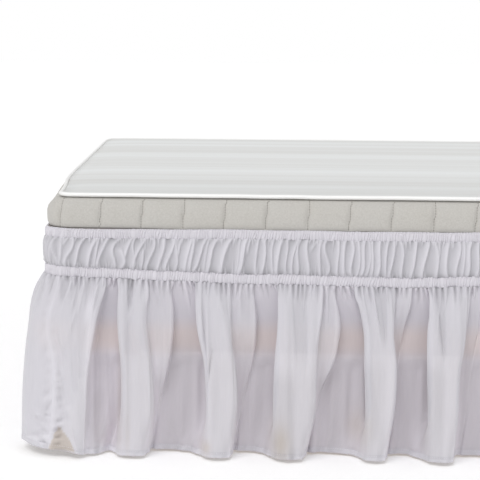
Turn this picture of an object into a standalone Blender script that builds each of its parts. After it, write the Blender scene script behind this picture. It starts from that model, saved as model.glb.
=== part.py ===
# A wrap-round bed skirt on a bed base with a thin mattress.
# Metres, +Z up, X along the foot end, +Y towards the head end, floor at z = 0.
import math
import random
from collections import namedtuple

import bmesh
import bpy

# Bed and mattress
HALF_WIDTH = 0.764
HALF_LENGTH = 1.017
CORNER_RADIUS = 0.052
LEG_SIDE = 0.060
LEG_HEIGHT = 0.205
LEG_INSET_X = 0.120
LEG_INSET_Y = 0.110
RAIL_TOP = 0.262
RAIL_INSET = 0.006
BASE_TOP = 0.446
MATTRESS_TOP = 0.514
QUILT_PITCH = 0.077
QUILT_SWELL = 0.005
UNDER_TUCK = 0.005
SWELL_HEIGHT = 0.030
PIPING_RADIUS = 0.0045
PIPING_INSET = 0.009
PIPING_SIDES = 6
SEAT_GAP = 0.0003

# Skirt
CLOTH_THICKNESS = 0.0015
SKIRT_TOP = 0.4452
UPPER_BAND_BOTTOM = 0.428
LOWER_BAND_TOP = 0.3645
LOWER_BAND_BOTTOM = 0.3465
HEM_HEIGHT = 0.005
BAND_INNER = 0.0040
BAND_THICKNESS = 0.0022
BAND_PINCH = 0.0021
BAND_CLEARANCE = 0.0008
BAND_GATHER = 0.0007
HEADER_PUFF = 0.0065
PUFF_BELOW_BAND = 0.7
SEAM_TURN = math.radians(29)
SEAM_GAP = 0.0004
VALLEY_REACH = -0.006
CLEAR_REACH = 0.0029
CLEAR_DROP = 0.020
FOLD_REACH = 0.055
FALL_LENGTH = 0.070
HEADER_LEAN = 0.007
LEAN_UNDER_BAND = 0.8
FOOT_GATHER = 0.0185
SIDE_GATHER = 0.063
CORNER_GATHER = 0.024
CORNER_ZONE = 0.116
CORNER_STEPS = 8
SMOOTH_STEPS = 10

# Broad folds of the foot end, from its left corner to just past its middle:
# where the crisp left edge stands, how wide the front is and how far it reaches at the hem
Fold = namedtuple("Fold", "edge front reach")
FOOT_FOLDS = (
    Fold(-0.628, 0.068, 0.047),
    Fold(-0.462, 0.066, 0.050),
    Fold(-0.318, 0.074, 0.055),
    Fold(-0.150, 0.054, 0.051),
    Fold(-0.030, 0.062, 0.054),
)
# The folds elsewhere: how far apart, how unevenly, where in its pitch each starts, their sizes
FOLD_SPACING = 0.148
SPACING_SPREAD = 0.016
FOLD_START = 0.2
FRONT_WIDTHS = (0.056, 0.074)
REACHES = (0.042, 0.055)
FOOT_FOLD_SEED = 5

# How unevenly the fine gathers are spaced, how deep they go and how far the header's lean
GATHER_SPACINGS = (0.75, 1.25)
GATHER_STRENGTHS = (0.65, 1.25)
GATHER_LEANS = (0.4, 1.2)

# One fold's section: across in front widths from its edge, forward in shares of its reach
SectionPoint = namedtuple("SectionPoint", "across forward")
FOLD_SECTION = (
    SectionPoint(0.12, 0.04),
    SectionPoint(-0.06, 0.46),
    SectionPoint(0.07, 0.90),
    SectionPoint(0.36, 1.00),
    SectionPoint(0.76, 0.92),
    SectionPoint(1.06, 0.60),
    SectionPoint(1.34, 0.20),
    SectionPoint(1.60, 0.00),
)
# The front that rounds each corner, from the seam inwards, in metres
CornerPoint = namedtuple("CornerPoint", "inward reach")
CORNER_SECTION = (
    CornerPoint(0.000, 0.054),
    CornerPoint(0.012, 0.049),
    CornerPoint(0.028, 0.060),
    CornerPoint(0.044, 0.054),
    CornerPoint(0.056, 0.026),
    CornerPoint(0.068, 0.002),
    CornerPoint(0.082, -0.006),
)

# The cloth's rows below the lower band: how far down each is, how deep the gathers are there
DropRow = namedtuple("DropRow", "drop gather")
DROPS = (
    DropRow(0.016, 0.0046),
    DropRow(0.060, 0.0028),
    DropRow(0.150, 0.0010),
    DropRow(LOWER_BAND_BOTTOM - HEM_HEIGHT, 0.0004),
)
# The header's rows between the bands: share of the way down, gather depth
HeaderRow = namedtuple("HeaderRow", "share gather")
HEADER = (HeaderRow(0.28, 0.0040), HeaderRow(0.72, 0.0040))

# A row of the cloth: its height, mean reach, gather depth, share of the broad folds, lean
ClothRow = namedtuple("ClothRow", "height mean gather fold lean")


def clear_scene():
    for item in list(bpy.data.objects):
        bpy.data.objects.remove(item, do_unlink=True)


def material(name, colour, roughness):
    made = bpy.data.materials.new(name)
    made.use_nodes = True
    shader = made.node_tree.nodes["Principled BSDF"]
    shader.inputs["Base Color"].default_value = (*colour, 1.0)
    shader.inputs["Roughness"].default_value = roughness
    shader.inputs["Metallic"].default_value = 0.0
    return made


def new_object(name, shape, finish):
    mesh = bpy.data.meshes.new(name)
    shape.to_mesh(mesh)
    shape.free()
    made = bpy.data.objects.new(name, mesh)
    made.data.materials.append(finish)
    bpy.context.scene.collection.objects.link(made)
    return made


class Outline:
    """A rounded rectangle, walked from the middle of the foot end towards +X."""

    def __init__(self, half_width, half_length, radius):
        self.radius = radius
        self.across = half_width - radius
        self.along = half_length - radius
        self.turn = math.pi * radius / 2
        self.length = 4 * (self.across + self.along + self.turn)

    def place(self, distance, reach):
        """The point at this distance round the outline, pushed outwards by reach."""
        left = distance % self.length
        legs = (
            (self.across, (self.across, -self.along)),
            (2 * self.along, (self.across, self.along)),
            (2 * self.across, (-self.across, self.along)),
            (2 * self.along, (-self.across, -self.along)),
            (self.across, None),
        )
        start = (0.0, -self.along)
        angle = -math.pi / 2
        for run, centre in legs:
            if left <= run:
                break
            left -= run
            if left <= self.turn:
                swing = angle + left / self.radius
                size = self.radius + reach
                return centre[0] + size * math.cos(swing), centre[1] + size * math.sin(swing)
            left -= self.turn
            angle += math.pi / 2
            start = centre
        normal = (math.cos(angle), math.sin(angle))
        tangent = (-normal[1], normal[0])
        size = self.radius + reach
        return (
            start[0] + left * tangent[0] + size * normal[0],
            start[1] + left * tangent[1] + size * normal[1],
        )

    def corner_marks(self):
        """Distances that draw the rounded corners, the straight runs being one step each."""
        marks = []
        runs = (2 * self.along, 2 * self.across, 2 * self.along, 2 * self.across)
        at = self.across
        for run in runs:
            marks += [at + self.turn * i / CORNER_STEPS for i in range(CORNER_STEPS)]
            at += self.turn
            marks.append(at)
            at += run
        return sorted(mark % self.length for mark in marks)


def loft(rings, closed_loop):
    """Joins rings of points with quads: into a closed loop, or a stack with capped ends."""
    shape = bmesh.new()
    rows = [[shape.verts.new(point) for point in ring] for ring in rings]
    count = len(rows[0])
    pairs = list(zip(rows, rows[1:]))
    if closed_loop:
        pairs.append((rows[-1], rows[0]))
    for low, high in pairs:
        for i in range(count):
            k = (i + 1) % count
            shape.faces.new((low[i], low[k], high[k], high[i]))
    if not closed_loop:
        shape.faces.new(list(reversed(rows[0])))
        shape.faces.new(rows[-1])
    bmesh.ops.recalc_face_normals(shape, faces=shape.faces)
    return shape


def slab(name, outline, inset, bottom, top, finish):
    marks = outline.corner_marks()
    rings = [[(*outline.place(mark, -inset), height) for mark in marks] for height in (bottom, top)]
    return new_object(name, loft(rings, False), finish)


def band(name, outline, bottom, top, finish):
    """An elastic band that runs all round, a flat strip on edge."""
    outer = BAND_INNER + BAND_THICKNESS
    corners = ((BAND_INNER, bottom), (outer, bottom), (outer, top), (BAND_INNER, top))
    rings = [
        [(*outline.place(mark, reach), height) for reach, height in corners]
        for mark in outline.corner_marks()
    ]
    return new_object(name, loft(rings, True), finish)


def mattress(outline, finish):
    """The thin mattress, its border swelling between upright quilting seams."""
    bottom = BASE_TOP + SEAT_GAP
    count = round(outline.length / QUILT_PITCH)
    pitch = outline.length / count
    marks = {round(pitch * i / 2, 6) for i in range(2 * count)}
    marks |= {round(mark, 6) for mark in outline.corner_marks()}
    kept = []
    for mark in sorted(marks):
        if not kept or mark - kept[-1] > pitch / 8:
            kept.append(mark)

    def swell(mark):
        return QUILT_SWELL * abs(math.sin(math.pi * mark / pitch))

    rebate = piping_rebate()
    rows = (
        (bottom, lambda mark: -UNDER_TUCK),
        (bottom + SWELL_HEIGHT, swell),
        (MATTRESS_TOP - rebate, lambda mark: 0.0),
        (MATTRESS_TOP, lambda mark: -rebate),
    )
    rings = [
        [(*outline.place(mark, reach(mark)), height) for mark in kept] for height, reach in rows
    ]
    return new_object("mattress", loft(rings, False), finish)


def piping_rebate():
    """How far the mattress's top edge is cut back so that the round piping lies in it."""
    return PIPING_INSET + 2 * PIPING_RADIUS + math.sqrt(2) * (PIPING_RADIUS + SEAT_GAP)


def piping(outline, finish):
    """The round cord along the mattress's top edge, lying in the rebate."""
    rings = []
    for mark in outline.corner_marks():
        ring = []
        for k in range(PIPING_SIDES):
            turn = 2 * math.pi * (k + 0.5) / PIPING_SIDES
            reach = PIPING_RADIUS * math.cos(turn) - PIPING_RADIUS - PIPING_INSET
            height = MATTRESS_TOP - PIPING_RADIUS + PIPING_RADIUS * math.sin(turn)
            ring.append((*outline.place(mark, reach), height))
        rings.append(ring)
    return new_object("mattress_piping", loft(rings, True), finish)


def leg(name, x, y, finish):
    shape = bmesh.new()
    bmesh.ops.create_cube(shape, size=1.0)
    height = LEG_HEIGHT - SEAT_GAP
    bmesh.ops.scale(shape, vec=(LEG_SIDE, LEG_SIDE, height), verts=shape.verts)
    bmesh.ops.translate(shape, vec=(0, 0, height / 2), verts=shape.verts)
    made = new_object(name, shape, finish)
    made.location = (x, y, 0)
    return made


def smooth_line(points):
    """A Catmull-Rom curve through the points, as a dense polyline with its running length."""
    padded = [points[0], *points, points[-1]]
    line = []
    for i in range(len(padded) - 3):
        a, b, c, d = padded[i : i + 4]
        for step in range(SMOOTH_STEPS):
            t = step / SMOOTH_STEPS
            line.append(
                tuple(
                    0.5
                    * (
                        2 * b[k]
                        + (c[k] - a[k]) * t
                        + (2 * a[k] - 5 * b[k] + 4 * c[k] - d[k]) * t**2
                        + (3 * b[k] - a[k] - 3 * c[k] + d[k]) * t**3
                    )
                    for k in (0, 1)
                )
            )
    line.append(points[-1])
    lengths = [0.0]
    for one, two in zip(line, line[1:]):
        lengths.append(lengths[-1] + math.dist(one, two))
    return line, lengths


def at_share(line, lengths, share):
    """The point of the polyline at this share of its length."""
    wanted = share * lengths[-1]
    for i in range(1, len(line)):
        if lengths[i] >= wanted:
            span = lengths[i] - lengths[i - 1]
            t = (wanted - lengths[i - 1]) / span
            return tuple(line[i - 1][k] + t * (line[i][k] - line[i - 1][k]) for k in (0, 1))
    return line[-1]


def ruled_folds(start, end, seed):
    """Folds of like size at an uneven spacing between two distances."""
    picker = random.Random(seed)
    count = max(1, round((end - start) / FOLD_SPACING))
    pitch = (end - start) / count
    folds = []
    for i in range(count):
        shift = picker.uniform(-SPACING_SPREAD, SPACING_SPREAD)
        edge = start + pitch * (i + FOLD_START) + shift
        folds.append(Fold(edge, picker.uniform(*FRONT_WIDTHS), picker.uniform(*REACHES)))
    tallest = max(fold.reach for fold in folds)
    return [fold._replace(reach=fold.reach * FOLD_REACH / tallest) for fold in folds]


def hem_section(start, end, folds):
    """The plan section at the hem: a corner front, the folds, and a corner front."""
    points = [(start + point.inward, point.reach) for point in CORNER_SECTION]
    for fold in folds:
        for point in FOLD_SECTION:
            depth = VALLEY_REACH + point.forward * (fold.reach - VALLEY_REACH)
            points.append((fold.edge + point.across * fold.front, depth))
    points += [(end - point.inward, point.reach) for point in reversed(CORNER_SECTION)]
    return smooth_line(points)


def gather_shares(length, pitch, near_pitch, picker):
    """Shares along the cloth where it creases, in and out by turns, finer near both ends."""
    near = 2 * round(CORNER_ZONE / near_pitch)
    far = 2 * round((length - 2 * CORNER_ZONE) / pitch)
    sizes = [near_pitch] * near + [pitch] * far + [near_pitch] * near
    steps = [size * picker.uniform(*GATHER_SPACINGS) for size in sizes]
    total = sum(steps)
    shares = [0.0]
    for step in steps:
        shares.append(shares[-1] + step / total)
    shares[-1] = 1.0
    return shares


def cloth_rows():
    """The rows from the top edge to the hem: pinched by the bands, puffed between them."""
    below_upper = UPPER_BAND_BOTTOM - BAND_CLEARANCE
    above_lower = LOWER_BAND_TOP + BAND_CLEARANCE
    below_lower = LOWER_BAND_BOTTOM - BAND_CLEARANCE
    rows = [
        ClothRow(SKIRT_TOP, BAND_PINCH, BAND_GATHER, 0.0, 1.0),
        ClothRow(below_upper, BAND_PINCH, BAND_GATHER, 0.0, LEAN_UNDER_BAND),
    ]
    for share, gather in HEADER:
        height = UPPER_BAND_BOTTOM + share * (LOWER_BAND_TOP - UPPER_BAND_BOTTOM)
        rows.append(ClothRow(height, HEADER_PUFF, gather, 0.0, LEAN_UNDER_BAND * (1 - share)))
    rows.append(ClothRow(above_lower, BAND_PINCH, BAND_GATHER, 0.0, 0.0))
    rows.append(ClothRow(below_lower, BAND_PINCH, BAND_GATHER, 0.0, 0.0))
    full = 1 - math.exp(-DROPS[-1].drop / FALL_LENGTH)
    puff = HEADER_PUFF * PUFF_BELOW_BAND
    for drop, gather in DROPS:
        share = (1 - math.exp(-drop / FALL_LENGTH)) / full
        rows.append(ClothRow(LOWER_BAND_BOTTOM - drop, puff, gather, share, 0.0))
    return rows


def panel(name, outline, start, end, folds, pitch, seed, finish):
    """One gathered width of the skirt, from seam to seam, as a sheet thickened both ways."""
    picker = random.Random(seed)
    start += SEAM_GAP / 2
    end -= SEAM_GAP / 2
    line, lengths = hem_section(start, end, folds)
    shares = gather_shares(end - start, pitch, min(pitch, CORNER_GATHER), picker)
    strengths = [picker.uniform(*GATHER_STRENGTHS) for _ in shares]
    leans = [HEADER_LEAN * picker.uniform(*GATHER_LEANS) for _ in shares]
    shape = bmesh.new()
    rows = []
    for height, mean, gather, fold, lean in cloth_rows():
        row = []
        for i, share in enumerate(shares):
            edge_fade = min(1.0, i / 2, (len(shares) - 1 - i) / 2)
            top = start + share * (end - start) + lean * leans[i] * edge_fade
            low, reach = at_share(line, lengths, share)
            crease = 1 if i % 2 else -1
            out = (1 - fold) * mean + fold * reach
            out += gather * strengths[i] * crease * edge_fade
            if gather > BAND_GATHER and height > LEG_HEIGHT - CLEAR_DROP:
                out = max(out, CLEAR_REACH)
            x, y = outline.place(top + fold * (low - top), out)
            row.append(shape.verts.new((x, y, height)))
        rows.append(row)
    for high, low in zip(rows, rows[1:]):
        for i in range(len(shares) - 1):
            shape.faces.new((low[i], low[i + 1], high[i + 1], high[i]))
    made = new_object(name, shape, finish)
    thick = made.modifiers.new("thickness", "SOLIDIFY")
    thick.thickness = CLOTH_THICKNESS
    thick.offset = 0.0
    thick.use_even_offset = False
    return made


def main():
    clear_scene()
    white_cloth = material("white_polyester", (0.82, 0.82, 0.87), 0.8)
    elastic = material("white_elastic", (0.84, 0.84, 0.88), 0.75)
    ticking = material("grey_ticking", (0.62, 0.60, 0.57), 0.85)
    cord_cloth = material("white_piping", (0.90, 0.90, 0.90), 0.7)
    base_cloth = material("base_cloth", (0.45, 0.42, 0.41), 0.9)
    wood = material("natural_wood", (0.58, 0.40, 0.26), 0.55)

    bed = Outline(HALF_WIDTH, HALF_LENGTH, CORNER_RADIUS)
    slab("base_box", bed, 0.0, RAIL_TOP + SEAT_GAP, BASE_TOP, base_cloth)
    slab("wood_rail", bed, RAIL_INSET, LEG_HEIGHT, RAIL_TOP, wood)
    leg_x = HALF_WIDTH - LEG_INSET_X
    leg_y = HALF_LENGTH - LEG_INSET_Y
    for row_name, y in (("foot", -leg_y), ("middle", 0.0), ("head", leg_y)):
        for side_name, x in (("left", -leg_x), ("right", leg_x)):
            leg(f"leg_{row_name}_{side_name}", x, y, wood)
    mattress(bed, ticking)
    piping(bed, cord_cloth)

    band("upper_elastic", bed, UPPER_BAND_BOTTOM, SKIRT_TOP, elastic)
    band("lower_elastic", bed, LOWER_BAND_BOTTOM, LOWER_BAND_TOP, elastic)

    seam = bed.across + bed.radius * SEAM_TURN
    far_seam = 2 * (bed.across + bed.turn + bed.along) - seam
    inner = CORNER_SECTION[-1].inward
    foot_end = FOOT_FOLDS[-1].edge + FOLD_SPACING
    foot_folds = [*FOOT_FOLDS, *ruled_folds(foot_end, seam - inner, FOOT_FOLD_SEED)]
    panel("skirt_foot", bed, -seam, seam, foot_folds, FOOT_GATHER, 11, white_cloth)
    others = (
        ("skirt_right", seam, far_seam, 12),
        ("skirt_head", far_seam, bed.length - far_seam, 13),
        ("skirt_left", bed.length - far_seam, bed.length - seam, 14),
    )
    for name, start, end, seed in others:
        folds = ruled_folds(start + inner, end - inner, seed)
        panel(name, bed, start, end, folds, SIDE_GATHER, seed, white_cloth)


main()
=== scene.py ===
# A wrap-round bed skirt of sheer white polyester on a bed base with a thin mattress.
# Metres, +Z up, X along the foot end, +Y towards the head end, floor at z = 0.
import math
import random

import bpy
import numpy as np
from mathutils import Matrix, Vector
from mathutils.geometry import delaunay_2d_cdt


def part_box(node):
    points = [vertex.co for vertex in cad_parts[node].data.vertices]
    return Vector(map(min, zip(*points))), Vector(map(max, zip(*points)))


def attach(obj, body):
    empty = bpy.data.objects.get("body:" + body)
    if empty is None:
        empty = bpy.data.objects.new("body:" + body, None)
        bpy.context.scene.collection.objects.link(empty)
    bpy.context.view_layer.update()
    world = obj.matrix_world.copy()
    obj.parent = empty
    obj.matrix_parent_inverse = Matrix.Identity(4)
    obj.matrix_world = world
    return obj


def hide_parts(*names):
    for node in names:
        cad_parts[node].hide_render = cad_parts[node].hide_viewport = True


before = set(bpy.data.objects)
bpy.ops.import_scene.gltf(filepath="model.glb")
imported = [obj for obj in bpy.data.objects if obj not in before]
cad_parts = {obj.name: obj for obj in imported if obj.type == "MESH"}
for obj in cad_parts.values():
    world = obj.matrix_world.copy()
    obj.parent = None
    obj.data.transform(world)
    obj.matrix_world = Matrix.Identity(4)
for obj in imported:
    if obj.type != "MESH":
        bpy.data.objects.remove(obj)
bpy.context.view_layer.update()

scene = bpy.context.scene
scene.view_settings.view_transform = "Standard"


# small helpers
def hexLinear(code):
    shades = [int(code[i : i + 2], 16) / 255 for i in (1, 3, 5)]
    return [*(v / 12.92 if v <= 0.04045 else ((v + 0.055) / 1.055) ** 2.4 for v in shades), 1.0]


def addNode(tree, kind, inputs=None, **settings):
    node = tree.nodes.new(kind)
    for name, value in settings.items():
        setattr(node, name, value)
    for key, value in (inputs or {}).items():
        if isinstance(value, bpy.types.NodeSocket):
            tree.links.new(value, node.inputs[key])
        else:
            node.inputs[key].default_value = value
    return node


def newFinish(name, **fixed):
    finish = bpy.data.materials.new(name)
    finish.use_nodes = True
    tree = finish.node_tree
    shader = tree.nodes["Principled BSDF"]
    for key, value in fixed.items():
        shader.inputs[key.replace("_", " ")].default_value = value
    return finish, tree, shader


def newMesh(name, points, faces, finish, uv=None, smooth=True):
    mesh = bpy.data.meshes.new(name)
    mesh.from_pydata(points, [], faces)
    if uv is not None:
        layer = mesh.uv_layers.new(name="clothMetres")
        corners = np.empty(len(mesh.loops), np.int32)
        mesh.loops.foreach_get("vertex_index", corners)
        layer.data.foreach_set("uv", np.asarray(uv, np.float32)[corners].ravel())
    mesh.polygons.foreach_set("use_smooth", [smooth] * len(mesh.polygons))
    mesh.materials.append(finish)
    mesh.update()
    made = bpy.data.objects.new(name, mesh)
    scene.collection.objects.link(made)
    return made


def gridFaces(rows, columns, closed=False):
    wrap = columns if closed else columns - 1
    return [
        (r * columns + c, r * columns + (c + 1) % columns,
         (r + 1) * columns + (c + 1) % columns, (r + 1) * columns + c)
        for r in range(rows - 1) for c in range(wrap)
    ]


def bakeNodes(holder, tree, values, name):
    # fills the tree's named inputs, then keeps the result as a plain mesh
    made = holder.modifiers.new("shape", "NODES")
    made.node_group = tree
    for item in tree.interface.items_tree:
        if item.item_type == "SOCKET" and item.in_out == "INPUT" and item.name in values:
            made[item.identifier] = values[item.name]
    graph = bpy.context.evaluated_depsgraph_get()
    mesh = bpy.data.meshes.new_from_object(holder.evaluated_get(graph))
    mesh.name = name
    bpy.data.objects.remove(holder, do_unlink=True)
    plain = bpy.data.objects.new(name, mesh)
    scene.collection.objects.link(plain)
    return plain


def newTree(name, sizes, counts=()):
    # a tree with one geometry, these named sizes and counts, and a finish
    tree = bpy.data.node_groups.new(name, "GeometryNodeTree")
    kinds = {"Geometry": "Geometry", **dict.fromkeys(sizes, "Float"),
             **dict.fromkeys(counts, "Int"), "Finish": "Material"}
    for label, kind in kinds.items():
        tree.interface.new_socket(label, in_out="INPUT", socket_type="NodeSocket" + kind)
    tree.interface.new_socket("Geometry", in_out="OUTPUT", socket_type="NodeSocketGeometry")
    return tree, addNode(tree, "NodeGroupInput").outputs


def endTree(tree, geometry, finish):
    for kind in ("SetShadeSmooth", "RealizeInstances", "SetMaterial"):
        last = addNode(tree, "GeometryNode" + kind, {"Geometry": geometry})
        geometry = last.outputs[0]
    tree.links.new(finish, last.inputs["Material"])
    tree.links.new(geometry, addNode(tree, "NodeGroupOutput").inputs[0])
    return tree


def pathHolder(name, points, edges):
    mesh = bpy.data.meshes.new(name + "Path")
    mesh.from_pydata(points, edges, [])
    holder = bpy.data.objects.new(name + "Path", mesh)
    scene.collection.objects.link(holder)
    return holder


# the outline of the bed, walked from the middle of the foot end towards +X
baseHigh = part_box("base_box")[1]
bed = {"halfWidth": baseHigh.x, "halfLength": baseHigh.y, "cornerRadius": 0.052}
across = bed["halfWidth"] - bed["cornerRadius"]
along = bed["halfLength"] - bed["cornerRadius"]
turn = math.pi * bed["cornerRadius"] / 2
outlineMarks = np.cumsum([0, across, turn, 2 * along, turn, 2 * across, turn, 2 * along, turn,
                          across])
outlineLength = outlineMarks[-1]
outlineX = across * np.array([0, 1, 1, 1, 1, -1, -1, -1, -1, 0])
outlineY = along * np.array([-1, -1, -1, 1, 1, 1, 1, -1, -1, -1])
outlineTurn = np.radians([-90, -90, 0, 0, 90, 90, 180, 180, 270, 270])


def outlineAt(distance, values):
    return np.interp(np.mod(distance, outlineLength), outlineMarks, values)


def onOutline(distance, reach):
    swing, size = outlineAt(distance, outlineTurn), bed["cornerRadius"] + reach
    x = outlineAt(distance, outlineX) + size * np.cos(swing)
    return x, outlineAt(distance, outlineY) + size * np.sin(swing)


# camera, light and floor
print("camera, light and floor")
view = {
    "place": (-0.4818, -3.9271, 0.7769),
    "yaw": 0.0513,
    "pitch": 0.1207,
    "roll": 0.0070,
    "lens": 113.6,
    "shift": 0.2627,
}
studio = {
    "skyStrength": 0.62,
    "horizonStrength": 1.0,
    "horizonTop": 0.10,
    "keyDirection": (0.26, 0.60, -0.76),
    "keyStrength": 1.36,
    "keySpread": 34,
    "floorColour": "#E4E4E4",
    "mottleColour": "#E7E7E7",
    "floorGlow": 0.28,
    "floorSize": 400,
}


def addCamera():
    yaw, pitch, roll = view["yaw"], view["pitch"], view["roll"]
    forward = Vector((-math.sin(yaw) * math.cos(pitch), math.cos(yaw) * math.cos(pitch),
                      -math.sin(pitch)))
    right = Vector((math.cos(yaw), math.sin(yaw), 0))
    up = right.cross(forward)
    level = right * math.cos(roll) + up * math.sin(roll)
    lift = up * math.cos(roll) - right * math.sin(roll)
    turned = Matrix((level, lift, -forward)).transposed().to_4x4()
    camera = bpy.data.objects.new("camera", bpy.data.cameras.new("camera"))
    camera.matrix_world = Matrix.Translation(view["place"]) @ turned
    camera.data.sensor_width = 36
    camera.data.lens = view["lens"]
    camera.data.shift_x = view["shift"]
    camera.data.clip_end = 600
    scene.collection.objects.link(camera)
    scene.camera = camera


def addKeyLight():
    # one very large, far soft box to the left
    light = bpy.data.objects.new("keyLight", bpy.data.lights.new("keyLight", "SUN"))
    light.data.energy = studio["keyStrength"]
    light.data.angle = math.radians(studio["keySpread"])
    light.rotation_mode = "QUATERNION"
    light.rotation_quaternion = Vector(studio["keyDirection"]).to_track_quat("-Z", "Y")
    scene.collection.objects.link(light)


addCamera()
addKeyLight()
world = bpy.data.worlds.new("studioWorld")
world.use_nodes = True
# a white horizon under a softer sky
tree = world.node_tree
direction = addNode(tree, "ShaderNodeTexCoord")
split = addNode(tree, "ShaderNodeSeparateXYZ", {0: direction.outputs["Generated"]})
height = addNode(tree, "ShaderNodeMapRange", {
    "Value": split.outputs["Z"], "From Min": studio["horizonTop"] / 2,
    "From Max": studio["horizonTop"],
    "To Min": studio["horizonStrength"], "To Max": studio["skyStrength"]})
tree.links.new(height.outputs[0], tree.nodes["Background"].inputs["Strength"])
tree.nodes["Background"].inputs["Color"].default_value = (1.0, 1.0, 1.0, 1.0)
scene.world = world

# painted studio floor: rolled matt emulsion, an even pale ground with a faint mottle, a little lit
# from within so that no hard dark line stands under the hem
floorFinish, tree, shader = newFinish("mattEmulsionFloor", Roughness=0.9)
mottle = addNode(tree, "ShaderNodeTexNoise", {"Scale": 1.5, "Detail": 3.0})
paint = addNode(tree, "ShaderNodeMix", {
    "Factor": mottle.outputs["Fac"], 6: hexLinear(studio["floorColour"]),
    7: hexLinear(studio["mottleColour"])}, data_type="RGBA")
tree.links.new(paint.outputs[2], shader.inputs["Base Color"])
shader.inputs["Emission Color"].default_value = (1.0, 1.0, 1.0, 1.0)
shader.inputs["Emission Strength"].default_value = studio["floorGlow"]
half = studio["floorSize"] / 2
floor = newMesh("studioFloor", [(-half, -half, 0), (half, -half, 0), (half, half, 0),
                                (-half, half, 0)],
                [(0, 1, 2, 3)], floorFinish, smooth=False)


# finishes
print("finishes")
clothLook = {
    "colour": "#DEDCE2",
    "slubColour": "#D6D4DB",
    "bandColour": "#D8D5DB",
    "bandSlubColour": "#CCC9D0",
    "roughness": 0.80,
    "sheen": 0.35,
    "alpha": 0.88,
    "slubWidth": 0.0022,
    "threadPitch": 0.0012,
    "threadRelief": 0.00008,
}


def clothFinish(name, alpha, colour, slubColour):
    finish, tree, shader = newFinish(
        name, Roughness=clothLook["roughness"], Alpha=alpha, Sheen_Weight=clothLook["sheen"],
        Sheen_Roughness=0.5, Specular_IOR_Level=0.25)
    metres = addNode(tree, "ShaderNodeUVMap", uv_map="clothMetres").outputs["UV"]
    tall = addNode(tree, "ShaderNodeMapping", {"Vector": metres, "Scale": (1.0, 0.06, 1.0)})
    slubs = addNode(tree, "ShaderNodeTexNoise", {
        "Vector": tall.outputs[0], "Scale": 1 / clothLook["slubWidth"], "Detail": 2.0})
    shade = addNode(tree, "ShaderNodeMix", {
        "Factor": slubs.outputs["Fac"], 6: hexLinear(colour), 7: hexLinear(slubColour)},
        data_type="RGBA").outputs[2]
    if alpha < 1:
        # the base, the rail and the shade under the bed tint the cloth where it lies against them;
        # painted shade and highlights on its folds come in the same colour
        behind = addNode(tree, "ShaderNodeAttribute", attribute_name="showThroughAndPaintedShade")
        shade = addNode(tree, "ShaderNodeMix", {
            "Factor": 1.0, 6: shade, 7: behind.outputs["Color"]},
            data_type="RGBA", blend_type="MULTIPLY").outputs[2]
    tree.links.new(shade, shader.inputs["Base Color"])
    # a wave texture has 3.18 bands to a unit at scale 1
    thread = {"Vector": metres, "Scale": 0.314 / clothLook["threadPitch"]}
    warp, weft = (addNode(tree, "ShaderNodeTexWave", thread, bands_direction=axis).outputs["Fac"]
                  for axis in "XY")
    weave = addNode(tree, "ShaderNodeMath", {0: warp, 1: weft}, operation="MULTIPLY")
    relief = addNode(tree, "ShaderNodeBump", {
        "Height": weave.outputs[0], "Distance": clothLook["threadRelief"], "Strength": 0.6})
    tree.links.new(relief.outputs["Normal"], shader.inputs["Normal"])
    return finish


# sheer polyester voile, plain woven and heat set: thin, soft white, what lies close behind tints
# it, and painted shade and highlights on its folds come with that tint
voile = clothFinish("sheerPolyesterVoile", clothLook["alpha"], clothLook["colour"],
                    clothLook["slubColour"])
# the same voile shirred over elastic thread: so many layers that nothing shows through
shirredVoile = clothFinish("shirredPolyesterVoile", 1.0, clothLook["bandColour"],
                           clothLook["bandSlubColour"])


def threadFinish(name, colour, twistColour):
    finish, tree, shader = newFinish(name, Roughness=0.6)
    twist = addNode(tree, "ShaderNodeTexNoise", {"Scale": 900.0, "Detail": 1.0})
    shade = addNode(tree, "ShaderNodeMix", {
        "Factor": twist.outputs["Fac"], 6: hexLinear(colour), 7: hexLinear(twistColour)},
        data_type="RGBA")
    tree.links.new(shade.outputs[2], shader.inputs["Base Color"])
    return finish


# spun polyester sewing thread: a little brighter and smoother than the cloth
whiteThread = threadFinish("spunPolyesterThread", "#DDDCE2", "#D3D2D8")
# the quilting thread of the mattress border: grey, so that the seams read as dark lines, standing
# partly for the shade in the quilted seams
greyThreadAndSeamShade = threadFinish("greyQuiltingThreadAndSeamShade", "#8F8B85", "#7E7A75")


# the cloth's broad folds
cloth = {
    "top": 0.4452,
    "upperBandBottom": 0.428,
    "lowerBandTop": 0.3645,
    "lowerBandBottom": 0.3465,
    "hem": 0.0028,
    "seamTurn": math.radians(29),
    "fallLength": 0.055,
    "hemTurnUp": 0.012,
    "clearReach": 0.0024,
    "clearHeights": (0.130, 0.200),
}
dropKeys = np.array([0.0, 0.012, 0.080, 0.165, 0.250, 0.3415])
# At each drop: how far a fold's turned-back edge is made, how sharp it still is, and how far in a
# valley lies
pinch = np.array([0.0, 0.35, 1.0, 1.0, 1.0, 1.0])
crisp = np.array([1.0, 1.0, 1.0, 1.0, 0.9, 0.2])
valleyReaches = np.array([-0.006, -0.006, -0.006, -0.008, -0.015, -0.027])
# The same for a corner: its front falls more steeply at first, and its valley lies flat
cornerFall = np.array([0.90, 0.88, 0.86, 0.94, 1.0, 1.0])
cornerValley = np.array([0.0, 0.0, 0.0, 0.0, 0.006, 0.026])
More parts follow.
